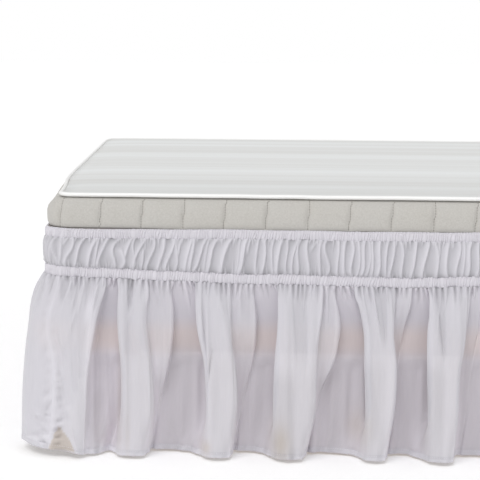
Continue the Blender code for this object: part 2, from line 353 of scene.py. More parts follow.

# Folds of the foot end, one by one. Each place is in millimetres at 12, 80, 165, 250 and 341 mm
# below the band: the crisp left edge, the front's right edge, the side pleat's edge and how strong
# that pleat is; last how much painted shade the hollow before it gets
footFolds = (
    {"edge": (-621, -621, -612, -611, -619), "right": (-563, -566, -553, -549, -562),
     "hollow": 0.03, "side": (-520, -515, -524, -540, -553), "pleat": (1.0, 1.0, 0.9, 0.1, 0.0),
     "reach": 0.047, "overlap": 0.004},
    {"edge": (-472, -468, -454, -449, -454), "right": (-404, -403, -391, -388, -397),
     "hollow": 0.09, "side": (-360, -356, -362, -379, -388), "pleat": (1.0, 1.0, 0.35, 0.04, 0.0),
     "reach": 0.050, "overlap": 0.007},
    {"edge": (-314, -314, -318, -318, -316), "right": (-231, -236, -241, -241, -256),
     "hollow": 0.07, "side": (-204, -195, -209, -233, -246), "pleat": (1.0, 1.0, 0.8, 0.08, 0.0),
     "reach": 0.055, "overlap": 0.010},
    {"edge": (-165, -149, -145, -140, -141), "right": (-86, -94, -88, -90, -98), "hollow": 0.09,
     "side": (-57, -69, -80, -83, -89), "pleat": (1.0, 0.6, 0.1, 0.0, 0.0), "reach": 0.051,
     "overlap": 0.014},
    {"edge": (-21, -28, -27, -23, -21), "right": (52, 46, 34, 34, 32), "hollow": 0.08,
     "side": (75, 72, 62, 58, 50), "pleat": (0.5, 0.4, 0.1, 0.0, 0.0), "reach": 0.054,
     "overlap": 0.014},
)
foldRule = {
    "spacing": 0.148,
    "spread": 0.012,
    "front": (0.056, 0.078),
    "side": (0.022, 0.040),
    "reach": (0.042, 0.055),
    "overlap": (0.003, 0.012),
    "hemLeft": (0, 0, 0, 0, 6),
    "hemRight": (0, 0, 0, 0, 11),
    "lead": 0.17,
    "drift": 7,
    "strength": (0.3, 1.0),
    "hollow": 0.10,
}


def fallShare(drop):
    full = 1 - math.exp(-dropKeys[-1] / cloth["fallLength"])
    return (1 - np.exp(-np.maximum(drop, 0) / cloth["fallLength"])) / full


def foldLines(fold):
    # lines that run down the cloth, each with its places at the drops, its shares of the fold's
    # reach and its gleam, a painted highlight, where a negative one is painted shade in a hollow
    def keyed(values, scale=0.001):
        return np.array([values[0], *values]) * scale

    edge, right, side = keyed(fold["edge"]), keyed(fold["right"]), keyed(fold["side"])
    pleat = keyed(fold["pleat"], 1.0)
    width = right - edge
    tuck = fold["overlap"] * pinch - 0.003 * (1 - pinch)
    soft = 1 - crisp
    lines = [
        (edge + tuck * crisp - 0.026 * soft, 0.06 * crisp + 0.32 * soft, -fold["hollow"]),
        (edge + 0.35 * tuck * crisp - 0.008 * soft, 0.50 * crisp + 0.50 * soft, 0),
        (edge, 0.86 * crisp + 0.66 * soft, 1.0),
        (edge + 0.12 * width, 1.00 * crisp + 0.80 * soft, 0),
        (edge + 0.50 * width, 0.93 * crisp + 0.95 * soft, 0),
        (right - 0.12 * width, 0.97 * crisp + 0.76 * soft, 0),
        (right, 0.84 * crisp + 0.40 * soft, 0.5),
        (right + 0.0012 + 0.004 * soft, 0.30 + 0.38 * pleat, 0),
        (right + 0.60 * (side - right), 0.07 + 0.56 * pleat, 0),
        (side, 0.02 + 0.56 * pleat, 0.8),
        (side + 0.003, 0.03 + 0.04 * soft, 0),
    ]
    span = fold["reach"] - valleyReaches
    return [(place, valleyReaches + share * span, gleam) for place, share, gleam in lines]


def ruledFolds(start, end, seed):
    picker = random.Random(seed)
    count = max(1, round((end - start) / foldRule["spacing"]))
    pitch = (end - start) / count
    folds = []
    for i in range(count):
        wander = picker.uniform(-1, 1) * foldRule["spread"]
        edge = 1000 * (start + pitch * (i + foldRule["lead"]) + wander)
        front = 1000 * picker.uniform(*foldRule["front"])
        side = 1000 * picker.uniform(*foldRule["side"])
        drift = [picker.uniform(-foldRule["drift"], foldRule["drift"]) for _ in range(4)]
        drift.insert(3, 0.5 * (drift[2] + drift[3]))
        strength = picker.uniform(*foldRule["strength"])

        def leaning(place, share, drifts, turned):
            return tuple(place + share * d - back for d, back in zip(drifts, foldRule[turned]))

        folds.append({
            "edge": leaning(edge, 1.0, drift, "hemLeft"),
            "right": leaning(edge + front, 0.6, drift[::-1], "hemRight"),
            "side": leaning(edge + front + side, 0.4, drift[::-1], "hemRight"),
            "pleat": (strength, strength, strength * picker.uniform(0.2, 0.9),
                      strength * picker.uniform(0.0, 0.3), 0.0),
            "hollow": foldRule["hollow"],
            "reach": picker.uniform(*foldRule["reach"]),
            "overlap": picker.uniform(*foldRule["overlap"]),
        })
    return folds


def cornerLines(seam, inward, edges, sway):
    # the front that rounds a corner, from its swaying seam to its inner edge
    inner = np.array([edges[0], *edges[:-1], 0.5 * (edges[-2] + edges[-1]), edges[-1]]) * 0.001
    shoulder = seam + inward * 0.030
    return [
        (seam + sway, 0.047 * cornerFall, 0),
        (seam + inward * 0.010 + 0.9 * sway, 0.046 * cornerFall, 0),
        (seam + inward * 0.022 + 0.6 * sway, 0.050 * cornerFall, 0),
        (0.5 * (shoulder + inner), 0.050 * cornerFall, 0),
        (inner, 0.045 * cornerFall, 0.6),
        (inner + inward * 0.002, 0.5 * (0.043 + cornerValley), 0),
        (inner + inward * 0.010, cornerValley, 0),
    ]


def hermite(t, gap, first, firstSlope, last, lastSlope):
    return ((2 * t**3 - 3 * t**2 + 1) * first + (t**3 - 2 * t**2 + t) * gap * firstSlope
            + (-2 * t**3 + 3 * t**2) * last + (t**3 - t**2) * gap * lastSlope)


def spread(keys, values, at):
    # a smooth curve through the keyed values
    slopes = np.gradient(values, keys, axis=-1)
    i = np.clip(np.searchsorted(keys, at, side="right") - 1, 0, len(keys) - 2)
    gap = keys[i + 1] - keys[i]
    return hermite((at - keys[i]) / gap, gap, values[..., i], slopes[..., i], values[..., i + 1],
                   slopes[..., i + 1])


def throughPoints(places, reaches, counts):
    # one row of the cloth: a curve through the section's points, with a set number of steps between
    # each pair
    chords = np.hypot(np.diff(places), np.diff(reaches))
    knots = np.concatenate([[0], np.cumsum(np.sqrt(np.maximum(chords, 0.0004)))])
    made = []
    for values in (places, reaches):
        slopes = np.gradient(values, knots)
        ends = zip(values, slopes, values[1:], slopes[1:])
        row = [hermite(np.arange(count) / count, gap, *keys)
               for count, gap, keys in zip(counts, np.diff(knots), ends)]
        made.append(np.concatenate([*row, values[-1:]]))
    return made


# gathers and creases
gathers = {
    "toothPitch": 0.0104,
    "toothWidth": 0.0031,
    "toothHeight": 0.0080,
    "shortTooth": (0.012, 0.036),
    "longTooth": (0.045, 0.120),
    "longShare": 0.20,
    "notchWidth": 0.0023,
    "notchLength": (0.012, 0.036),
    "notchDepth": 0.0036,
    "facetDepth": 0.022,
    "headerPitch": 0.0165,
    "headerRise": 0.0052,
    "headerFall": 0.0015,
    "headerHeight": (4.5, 7.5),
    "headerLean": 0.010,
    "headerPuff": 0.0035,
    "lesserPitch": 0.0044,
    "hiddenReach": 0.0028,
    "headerReach": 0.0042,
    "bandReach": 0.0026,
    "edgeReach": 0.0020,
    "hemPucker": 0.0017,
    "softWave": 0.0006,
    "doubledReach": 0.050,
    "evenAbove": 0.016,
    "edgeFade": 0.006,
    "bandRamp": 0.004,
    "seatReach": 0.0016,
    "looseDepth": 0.034,
    "hemPuckerHeight": 0.045,
    "stitchDent": 0.0008,
    "stitchWidth": 0.0030,
    "lapDepth": 0.0009,
    "seamPinch": 0.0010,
    "seamPuff": 0.0036,
    "seamPuffStep": 0.019,
}
# Header gathers, listed: millimetres along at the top, one third, two thirds and the foot of the
# header, and its height in millimetres; last, where it isn't the whole way, the shares between
# which it runs
headerRidges = (
    (-731, -730, -731, -736, 5.5), (-718, -727, -728, -729, 4.5, 0, 0.35),
    (-710, -711, -720, -723, 6.0), (-687, -698, -702, -707, 7.0), (-663, -673, -678, -681, 7.0),
    (-659, -663, -666, -669, 5.5), (-642, -651, -659, -662, 7.5), (-615, -632, -629, -628, 5.5),
    (-616, -616, -609, -617, 6.0, 0.3, 1), (-595, -604, -609, -612, 6.0, 0, 0.75),
    (-589, -593, -589, -593, 5.0), (-567, -580, -589, -593, 6.0),
    (-573, -573, -574, -578, 5.0, 0.3, 1), (-553, -553, -562, -568, 6.5),
    (-533, -534, -540, -546, 7.0), (-513, -517, -526, -531, 6.5), (-510, -509, -507, -513, 5.0),
    (-498, -504, -505, -506, 5.0, 0, 0.6), (-479, -485, -490, -493, 6.0),
    (-475, -477, -481, -483, 6.0), (-451, -460, -466, -476, 7.0), (-445, -451, -454, -456, 4.5),
    (-429, -440, -444, -450, 6.5), (-425, -421, -420, -420, 4.0, 0, 0.25),
    (-403, -414, -420, -424, 7.5), (-386, -389, -391, -397, 5.0), (-373, -379, -382, -389, 8.5),
    (-366, -372, -373, -374, 4.5, 0, 0.5), (-352, -355, -357, -356, 6.5),
    (-340, -338, -340, -345, 5.5), (-322, -326, -325, -323, 6.0), (-306, -312, -315, -316, 6.5),
    (-297, -296, -299, -296, 5.0), (-274, -283, -287, -286, 6.5), (-270, -277, -275, -276, 5.0),
    (-257, -259, -255, -255, 6.5), (-236, -251, -254, -254, 4.5, 0, 0.4),
    (-232, -235, -234, -232, 6.0), (-221, -224, -216, -221, 6.5), (-198, -198, -200, -199, 7.0),
    (-185, -188, -188, -187, 6.0), (-172, -170, -174, -172, 6.5), (-160, -158, -158, -163, 6.5),
    (-148, -150, -149, -154, 6.0), (-140, -138, -139, -145, 5.0), (-134, -133, -132, -135, 6.0),
    (-119, -120, -119, -124, 7.0), (-104, -107, -108, -106, 6.0), (-92, -93, -97, -102, 6.5),
    (-80, -75, -77, -77, 6.5), (-50, -52, -55, -60, 7.0), (-26, -30, -36, -38, 6.5),
    (-16, -9, -9, -11, 6.0), (-7, -6, -8, -8, 4.5, 0, 0.6), (12, 8, 7, 10, 6.5),
    (20, 18, 18, 18, 4.0, 0, 0.3), (31, 32, 27, 27, 6.0), (40, 41, 40, 38, 6.0),
    (54, 50, 51, 48, 6.5),
)
cornerRidges = (
    (-740, -749, -742, -741, 4.5), (-743, -753, -755, -756, 4.0), (-757, -762, -764, -762, 3.5),
    (-770, -768, -772, -775, 3.0), (-781, -779, -783, -781, 3.0), (-792, -796, -793, -790, 3.0),
)
# Creases of the foot end, listed: from (along, drop) to (along, drop), how high and how wide, in
# millimetres; a negative height is a groove
footCreases = (
    (-709, 0, -724, 60, 7.5, 3.4), (-728, 0, -735, 44, 5.0, 3.0), (-701, 0, -715, 64, -4.5, 4.0),
    (-685, 0, -698, 70, 6.0, 3.2), (-660, 0, -678, 110, 5.0, 3.4), (-668, 0, -676, 50, -3.5, 4.0),
    (-700, 62, -716, 106, 5.0, 3.0), (-725, 84, -716, 152, 5.5, 3.2),
    (-716, 150, -722, 230, 3.0, 3.4), (-612, 0, -613, 60, 3.0, 3.0),
    (-594, 0, -597, 64, -7.0, 5.0), (-583, 36, -606, 86, 3.5, 3.2), (-583, 0, -579, 44, 3.5, 3.2),
    (-556, 4, -541, 56, -2.5, 3.0), (-543, 0, -540, 54, 4.0, 3.6), (-531, 0, -528, 40, 3.0, 3.0),
    (-537, 258, -496, 318, 1.6, 4.0), (-528, 290, -505, 322, 1.4, 3.0),
    (-458, 8, -448, 190, -5.0, 3.6), (-449, 30, -444, 250, 3.0, 3.4),
    (-424, 0, -422, 56, -4.0, 3.2), (-381, 8, -398, 52, 3.5, 3.0), (-372, 0, -370, 66, 3.0, 3.4),
    (-300, 0, -296, 36, -3.5, 3.0), (-268, 8, -262, 200, -3.5, 10.0),
    (-288, 40, -280, 230, 2.0, 6.0), (-222, 0, -224, 50, 3.5, 3.2),
    (-368, 306, -350, 330, 1.4, 3.0), (-134, 0, -116, 110, 5.0, 3.6),
    (-118, 4, -108, 120, -4.5, 5.0), (-150, 0, -140, 60, -3.0, 3.2), (-66, 0, -68, 44, 3.0, 3.0),
    (-164, 250, -140, 272, 2.0, 3.0), (-12, 8, 5, 150, -7.0, 6.0), (22, 0, 16, 150, 3.0, 4.6),
    (-16, 0, -20, 60, 2.5, 3.0), (-497, 0, -495, 52, 4.5, 2.6), (-428, 24, -413, 82, 2.5, 2.6),
    (-437, 124, -447, 196, -4.0, 3.0), (-184, 0, -179, 40, 4.0, 2.6),
    (-169, 0, -164, 46, 4.0, 2.6), (-590, 70, -599, 86, 2.5, 2.4), (-645, 0, -651, 44, 3.5, 2.6),
    (-630, 0, -634, 40, 3.5, 2.6), (48, 0, 39, 130, 3.0, 3.0),
)
# The same for the pucker of the left corner's seam, on its two sides
seamCreases = (
    (-727, 148, -722, 184, 3.6, 2.6), (-731, 182, -715, 212, 4.2, 2.6),
    (-719, 206, -730, 240, 3.6, 2.4), (-731, 230, -711, 260, 4.2, 2.8),
    (-714, 256, -729, 288, 3.8, 2.4), (-732, 280, -726, 322, 4.2, 2.6),
    (-722, 345, -722, 280, -8.0, 7.0), (-709, 284, -698, 330, 3.2, 3.0),
)
cornerCreases = (
    (-734, 190, -741, 236, 3.4, 2.6), (-745, 226, -733, 262, 3.6, 2.6),
    (-734, 256, -750, 288, 3.8, 2.6), (-758, 262, -741, 300, 3.4, 2.6),
    (-736, 296, -756, 326, 3.8, 2.6), (-766, 280, -764, 330, 2.6, 3.0),
)
# Where the floor or a leg close behind tints a single layer, painted in as a darker, warmer colour:
# along, drop, half width, half height, strength
tintSpots = (
    (-618, 240, 6, 100, 0.45), (-305, 312, 18, 38, 1.15), (-153, 284, 20, 34, 0.65),
    (-449, 325, 10, 16, 0.9), (-600, 300, 5, 50, 0.3),
)
# Facets that turn from the light, each a wedge dented a little and given painted shade: from
# (along, drop) to (along, drop), half its width at both ends, in millimetres, and how much painted
# shade it gets; a negative share is a painted highlight
footFacets = (
    (-721, 0, -726, 56, 8, 1.5, 0.13), (-693, 0, -711, 74, 4.5, 1.5, 0.10),
    (-676, 0, -686, 68, 4.5, 2, 0.08), (-664, 36, -688, 124, 6, 3, 0.05),
    (-745, 60, -732, 150, 4, 4, 0.04), (-705, 120, -700, 250, 7, 5, 0.03),
    (-599, 0, -598, 66, 7, 1, 0.13), (-573, 0, -577, 40, 3, 1, 0.06),
    (-459, 28, -452, 150, 2, 4, 0.07), (-422, 0, -409, 72, 9, 3, 0.08),
    (-437, 120, -447, 200, 2, 2, 0.06), (-378, 0, -372, 90, 9, 6, 0.05),
    (-274, 0, -266, 196, 14, 8, 0.07), (-222, 4, -226, 46, 5.5, 1, 0.09),
    (-178, 0, -166, 58, 15, 3, -0.05), (-119, 0, -109, 130, 12, 3, 0.08),
    (-89, 0, -92, 74, 7, 2, 0.09), (-4, 0, 4, 152, 8, 1, 0.10), (41, 10, 41, 130, 9, 6, 0.05),
    (-140, 150, -118, 330, 8, 12, 0.03), (-655, 110, -648, 330, 8, 14, -0.06),
)
cornerFacets = (
    (-749, 0, -745, 46, 4, 1, 0.12), (-765, 0, -762, 70, 5, 2, 0.08),
    (-782, 0, -786, 50, 4, 1.5, 0.07),
)
# Broad painted shade alone, with no change of form, in the same columns; a negative share is
# painted light
footShades = (
    (-658, 200, -655, 480, 10, 12, 0.12), (-631, 110, -631, 480, 8, 9, -0.13),
    (-673, 20, -672, 300, 8, 8, -0.15), (-500, 90, -500, 480, 24, 26, 0.08),
    (-546, 110, -541, 480, 6, 7, -0.10), (-342, 120, -342, 480, 19, 20, 0.06),
    (-196, 150, -196, 480, 14, 15, 0.08), (-236, 110, -230, 480, 5, 6, -0.06),
    (-60, 150, -60, 480, 12, 14, 0.03), (78, 100, 78, 480, 28, 32, 0.10),
    (-585, 60, -580, 480, 26, 26, 0.035), (-425, 110, -420, 480, 16, 16, 0.045),
    (-300, 150, -298, 480, 18, 22, 0.12), (-262, 150, -262, 480, 20, 22, 0.07),
    (-126, 120, -122, 480, 18, 18, 0.07), (-12, 130, -12, 480, 18, 18, 0.10),
    (24, 40, 24, 480, 16, 16, 0.03),
)
# How far above its level the lower elastic lies along the foot end: X and lift in millimetres
bandSag = (
    (-760, 8.0), (-700, 6.0), (-650, 4.5), (-600, 3.2), (-540, 1.4), (-480, -0.5), (-450, -2.8),
    (-390, -3.8), (-360, -5.0), (-300, -3.4), (-250, -3.8), (-190, -5.6), (-160, -6.2),
    (-50, -6.0), (0, -4.2), (40, -1.8),
)
# The gap left between the puckered seam and the corner's front, painted in as a darker, browner
# shade: where, from which drop down, and how it widens
paintedCornerGap = {"along": -0.7239, "drop": 0.290, "left": 0.22, "right": 0.46}


def smoothStep(value, low, high):
    t = np.clip((value - low) / (high - low), 0, 1)
    return t * t * (3 - 2 * t)


def creaseField(places, drop, creases, highest=False):
    total = np.zeros_like(places)
    for topPlace, topDrop, lowPlace, lowDrop, height, width in creases:
        share = (drop - topDrop) / (lowDrop - topDrop)
        held = np.clip(share, 0, 1)
        rooted = topDrop <= 0 or topDrop >= dropKeys[-1]
        fade = np.where(
            (share > 1) | ((share < 0) & (not rooted)), 0,
            (1 - held) ** 0.8 if rooted else np.sin(math.pi * held) ** 0.7,
        )
        centre = topPlace + held * (lowPlace - topPlace)
        thin = width * (1 - 0.55 * held)
        away = np.abs(places - centre) / thin
        away = away**2 if highest else np.sqrt(away**2 + 0.05) - math.sqrt(0.05)
        ridge = height * fade * np.exp(-away)
        total = np.maximum(total, ridge) if highest else total + ridge
    return total


def facetField(places, drop, facets, blur=0.0011):
    # flat wedges with crisp sides, fading at the tip
    total = np.zeros_like(places)
    for topPlace, topDrop, lowPlace, lowDrop, topHalf, lowHalf, strength in facets:
        share = (drop - topDrop) / (lowDrop - topDrop)
        held = np.clip(share, 0, 1)
        half = topHalf + held * (lowHalf - topHalf)
        within = half - np.abs(places - topPlace - held * (lowPlace - topPlace))
        fade = 1 - smoothStep(share, 0.62, 1.0)
        if topDrop > 0:
            fade = fade * smoothStep(share, 0.0, 0.15)
        total = total + strength * fade * smoothStep(within, -blur, blur)
    return total


def ruledFacets(folds, seed, onFronts):
    # painted shade, with a slight dent, on the side of each fold's pleat, and where none is listed
    # a shaded wedge on its front
    picker = random.Random(seed + 90)
    facets = []
    for fold in folds:
        right, side = np.array(fold["right"]) * 0.001, np.array(fold["side"]) * 0.001
        middle, half = 0.5 * (right + side), 0.5 * (side - right)
        facets.append((middle[0], 0.004, middle[2], 0.300, half[0], half[2],
                       0.05 * fold["pleat"][1]))
        if onFronts:
            edge = fold["edge"][0] * 0.001
            at = edge + picker.uniform(0.3, 0.7) * (right[0] - edge)
            length = picker.uniform(0.05, 0.16)
            facets.append((at, 0.0, at + picker.uniform(-0.10, 0.10) * length, length,
                           picker.uniform(0.005, 0.010), picker.uniform(0.001, 0.004),
                           picker.uniform(0.06, 0.11)))
    return facets


def ruledTeeth(start, end, seed):
    # ridges that hang from the band, and the dark notches between them
    picker = random.Random(seed)
    teeth, notches, at = [], [], start
    while at < end:
        long = picker.random() < gathers["longShare"]
        length = picker.uniform(*gathers["longTooth" if long else "shortTooth"])
        height = gathers["toothHeight"] * picker.uniform(0.55, 1.15) * (0.8 if long else 1.0)
        width = gathers["toothWidth"] * picker.uniform(0.7, 1.3) * (1.3 if long else 1.0)
        lean = picker.uniform(-0.10, 0.10) * length
        teeth.append((at, 0.0, at + lean, length, height, width))
        pitch = gathers["toothPitch"] * picker.uniform(0.62, 1.4)
        length = picker.uniform(*gathers["notchLength"])
        width = gathers["notchWidth"] * picker.uniform(0.7, 1.2)
        between = at + 0.5 * pitch
        notches.append((between, 0.0, between + lean, length, picker.uniform(0.6, 1.0), width))
        at += pitch
    return teeth, notches


def ruledHeader(start, end, seed):
    picker = random.Random(seed)
    ridges, at = [], start
    while at < end:
        lean = gathers["headerLean"] * picker.uniform(-0.3, 1.0)
        bend = [picker.uniform(-0.003, 0.003) for _ in range(2)]
        keys = (at, at - lean / 3 + bend[0], at - 2 * lean / 3 + bend[1], at - lean)
        kind = picker.random()
        run = (0, 1)
        if kind < 0.15:
            run = (0, picker.uniform(0.3, 0.7))
        elif kind < 0.25:
            run = (picker.uniform(0.2, 0.6), 1)
        ridges.append((*keys, *run, picker.uniform(*gathers["headerHeight"]) * 0.001))
        at += gathers["headerPitch"] * picker.uniform(0.45, 1.5)
    return ridges


def handRidges(rows, shift=0.0):
    return [(*(shift + v * 0.001 for v in row[:4]), *(row[5:] or (0, 1)), row[4] * 0.001)
            for row in rows]


def handMarks(rows, shift=0.0, last=1.0):
    # creases, and facets whose last column is a share and not a length
    return [(shift + a * 0.001, b * 0.001, shift + c * 0.001, *(v * 0.001 for v in rest),
             end * last)
            for a, b, c, *rest, end in rows]


def headerField(places, share, ridges, seed):
    # each gather runs on a cubic through its four keys, rising slowly on its left and falling
    # sharply on its right
    picker = random.Random(seed)
    total = np.zeros_like(places)
    third, second, first = share - 1 / 3, share - 2 / 3, share - 1
    weights = (-4.5 * third * second * first, 13.5 * share * second * first,
               -13.5 * share * third * first, 4.5 * share * third * second)
    bow = 0.65 + 0.35 * np.sin(math.pi * share)
    for *keys, runFrom, runTo, height in ridges:
        centre = sum(key * weight for key, weight in zip(keys, weights))
        fade = np.ones_like(share)
        if runFrom > 0:
            fade = fade * smoothStep(share, runFrom - 0.05, runFrom + 0.15)
        if runTo < 1:
            fade = fade * (1 - smoothStep(share, runTo - 0.22, runTo))
        rise = gathers["headerRise"] * picker.uniform(0.7, 1.3)
        fall = gathers["headerFall"] * picker.uniform(0.8, 1.4)
        offset = places - centre
        away = np.sqrt((offset / np.where(offset < 0, rise, fall)) ** 2 + 0.09) - 0.3
        total = np.maximum(total, height * bow * fade * np.exp(-away))
    # lesser gathers between them, each from one band only
    at = places.min()
    while at < places.max():
        fromTop = picker.random() < 0.55
        size, height = picker.uniform(0.12, 0.50), picker.uniform(0.0030, 0.0060)
        width, lean = picker.uniform(0.0016, 0.0026), picker.uniform(-0.004, 0.003)
        run = (share if fromTop else 1 - share) / size
        fade = np.clip(1 - run, 0, 1) ** 0.7
        offset = places - at - lean * run
        thin = width * (0.45 + 0.55 * fade)
        total = np.maximum(total, height * fade * np.exp(-np.abs(offset) / thin))
        at += gathers["lesserPitch"] * picker.uniform(0.45, 1.5)
    return total


# the four gathered widths of the skirt
seam = across + bed["cornerRadius"] * cloth["seamTurn"]
farSeam = 2 * (across + turn + along) - seam
seamLap = 0.0014
seamSway = np.array([0.0, 0.002, -0.003, 0.007, 0.008, 0.004])


# Rows of vertices down the cloth: how far it goes on behind a band, the extra row beside a band,
# the first step of the drop and its growth, and from which drop the steps are finer again
rowRule = {
    "tuck": 0.0014,
    "besideBand": 0.0016,
    "firstStep": 0.0020,
    "growth": 1.10,
    "fineFrom": 0.265,
    "fineShare": 0.45,
    "aboveHem": 0.0015,
}


def rowHeights(headerStep, dropStep):
    top, bottom, tuck = cloth["upperBandBottom"], cloth["lowerBandTop"], rowRule["tuck"]
    header = list(np.linspace(top, bottom, round((top - bottom) / headerStep) + 1))
    header = [top, top - rowRule["besideBand"], *header[1:-1], bottom + rowRule["besideBand"],
              bottom]
    rows = [cloth["top"], top + tuck, *header, bottom - tuck, cloth["lowerBandBottom"] + tuck]
    drop, step = 0.0, rowRule["firstStep"]
    fall = cloth["lowerBandBottom"] - cloth["hem"] - rowRule["aboveHem"]
    while drop < fall - 0.7 * step:
        rows.append(cloth["lowerBandBottom"] - drop)
        drop += step
        finest = dropStep * (1 if drop < rowRule["fineFrom"] else rowRule["fineShare"])
        step = min(step * rowRule["growth"], finest)
    rows.append(cloth["hem"] + rowRule["aboveHem"])
    return np.array(rows)


def bandLift(x, y, z):
    # the elastic lies a little unevenly, and higher at the foot end's left corner
    wave = np.sin(9 * x + 2 * y + 0.4) + np.sin(23 * x - 17 * y)
    wave = wave + 0.7 * np.sin(41 * x + 31 * y + 2.0)
    sag = np.interp(x, *(0.001 * np.array(bandSag).T))
    low = 0.0005 * wave + sag * smoothStep(-y, 0.70, 1.00)
    high = 0.0005 * np.sin(13 * x + 7 * y + 1.0) + 0.0004 * np.sin(37 * x - 29 * y)
    high = high + 0.0012 * smoothStep(x, -0.70, -0.42)
    share = smoothStep(z, cloth["lowerBandTop"], cloth["upperBandBottom"])
    return ((1 - share) * low + share * high) * smoothStep(z, 0.21, cloth["lowerBandBottom"])


# What lies behind a single layer of the cloth, by height, painted in as a factor on its colour: the
# shade under the bed, the warm rail, the dark base
behindCloth = (
    (0.000, (0.910, 0.885, 0.898)), (0.198, (0.910, 0.885, 0.898)),
    (0.220, (0.985, 0.900, 0.850)), (0.246, (0.985, 0.900, 0.850)),
    (0.276, (0.910, 0.890, 0.902)), (0.450, (0.910, 0.890, 0.902)),
)
# How the painted shade and highlights follow the relief. Curves are pairs of a value and what it
# gives; the rest are shares of the colour
paintedShading = {
    "doubledCloth": 0.92,  # two layers let less light through from behind
    "tint": (0.10, 0.15, 0.23),
    "gap": (0.14, 0.21, 0.32),
    "gleam": 0.06,
    "layers": ((0.04, 0.0), (0.14, 0.10), (0.40, 0.36), (0.70, 0.58), (0.92, 1.0)),
    "crease": ((-0.006, -0.13), (0.0, 0.0), (0.006, 0.08)),
    "header": ((0.0, -0.17), (0.001, -0.11), (0.0031, 0.0), (0.0048, 0.10)),
    "headerSlope": 0.09,
    "headerNotch": 0.26,
    "notch": 0.44,
    "tooth": 0.12,
    "thinTooth": 0.10,
    "underBand": 0.025,
    "wallGlow": 0.11,  # a fold's steep right side is lit through the thin cloth
    "glowAtHem": 0.7,
    "seamPuff": 0.08,
    "seam": 0.10,
    "hem": 0.06,
    "hemSingle": 0.02,
    "hemRipple": 0.02,
    "hemLayers": 0.75,
    "hemStitch": 0.06,
}
lowerDrop = (0.25, 0.33)  # between these drops the fronts grow softer towards the hem
# The stretch over which the puckered seam draws the hem up round the left corner of the foot end,
# and how far
cornerDraw = {"start": (0.672, 0.735), "end": (0.80, 0.87), "lift": 0.009, "more": 0.004,
              "moreFrom": (0.735, 0.78)}
# The hem, turned up inside: how far above its edge and how far behind the cloth each row lies
hemRows = (
    (0.0003, 0.0003), (0.0000, 0.0009), (0.0004, 0.0015), (0.0030, 0.0017), (0.0075, 0.0016),
    (cloth["hemTurnUp"], 0.0013),
)


def curveAt(value, curve):
    return np.interp(value, *zip(*curve))


def bump(offset, width):
    return np.exp(-((offset / width) ** 2))


def showThroughAndPaintedShade(layers, relief, z, gleam, s, drop):
    # layers runs from 0 for a single layer to 1 for cloth doubled in a fold
    heights, factors = zip(*behindCloth)
    factor = np.stack([np.interp(z, heights, shades) for shades in zip(*factors)], axis=-1)
    colour = factor + layers[..., None] * (paintedShading["doubledCloth"] - factor)
    for place, below, wide, tall, strength in tintSpots:
        spot = bump(s - place * 0.001, wide * 0.001) * bump(drop - below * 0.001, tall * 0.001)
        colour = colour * (1 - strength * spot[..., None] * np.array(paintedShading["tint"]))
    fallen, past = drop - paintedCornerGap["drop"], s - paintedCornerGap["along"]
    within = np.minimum(past + paintedCornerGap["left"] * fallen, paintedCornerGap["right"] * fallen - past)
    gap = smoothStep(within, 0.0, 0.0018) * (1 - 0.7 * smoothStep(-z, -0.018, -0.013))
    colour = colour * (1 - gap[..., None] * np.array(paintedShading["gap"]))
    # painted shade and highlights from the relief, and painted highlights along the fold edges from
    # the gleam
    colour = colour * (1 + relief + paintedShading["gleam"] * gleam)[..., None]
    return np.concatenate([colour, np.ones((*z.shape, 1))], axis=-1).astype(np.float32)


def clothGrid(width, lines, heights):
    # every row runs through the same lines, with columns between neighbours by the widest that
    # stretch gets
    places, reaches = (np.array(keys) for keys in list(zip(*lines))[:2])
    chords = np.hypot(np.diff(places[:, -1]), np.diff(reaches[:, -1]))
    chords = np.maximum(chords, np.abs(np.diff(places[:, 0])))
    middles = 0.5 * (places[1:, 0] + places[:-1, 0])
    counts = [max(3, round(chord / width["pitches"][int(middle >= width["change"])]))
              for chord, middle in zip(chords, middles)]
    rows = []
    for height in heights:
        at = min(max(cloth["lowerBandBottom"] - height, 0.0), dropKeys[-1])
        reached = spread(dropKeys, reaches, at) * fallShare(at)
        rows.append(throughPoints(spread(dropKeys, places, at), reached, counts))
    s, r = (np.array(values) for values in zip(*rows))
    return s, r, np.cumsum([0, *counts])


def softWaves(s, drop, seed):
    picker = random.Random(seed + 50)
    soft = np.zeros_like(s)
    for _ in range(16):
        wave, phase = picker.uniform(0.014, 0.060), picker.uniform(0, 6.3)
        slope = picker.uniform(-0.6, 0.6)
        soft += np.sin(2 * math.pi * (s + slope * 0.1 * drop) / wave + phase) * wave / 0.06
    return soft * gathers["softWave"] * smoothStep(drop, 0.01, 0.06)


def dropPaintedShading(drop, layers, normalS, creased, teeth, notches, shaded, hollow):
    # painted highlights on crests and teeth, painted shade in grooves, notches, hollows, facets and
    # under the band, painted light on a fold's steep right side; crests are doubled cloth, notches
    # are thin
    nearBand = np.exp(-np.maximum(drop, 0) / 0.030)
    relief = curveAt(creased, paintedShading["crease"]) * (0.4 + 0.6 * nearBand)
    relief = relief - paintedShading["notch"] * notches - shaded + hollow * smoothStep(drop, 0.02, 0.12)
    glow = paintedShading["wallGlow"] * (1 + paintedShading["glowAtHem"] * smoothStep(drop, *lowerDrop))
    relief = relief + glow * smoothStep(normalS, 0.40, 0.90) * smoothStep(drop, 0.01, 0.05)
    single = 1 - np.clip(layers, 0, 1)
    relief = relief + (paintedShading["tooth"] + paintedShading["thinTooth"] * single) * teeth / gathers["toothHeight"]
    return relief - paintedShading["underBand"] * nearBand


def headerPaintedShading(s, head, toBand):
    # painted shade in the header's grooves, on the steep fall of each gather and in notches beside
    # the bands, painted highlights on its crests
    slope = np.gradient(head, axis=1) / np.maximum(np.gradient(s, axis=1), 0.0004)
    relief = curveAt(head, paintedShading["header"]) + paintedShading["headerSlope"] * np.clip(slope, -1.0, 0.15)
    notch = np.exp(-((toBand / 0.0085) ** 1.3)) * (1 - smoothStep(head, 0.0006, 0.0030))
    return relief - paintedShading["headerNotch"] * notch


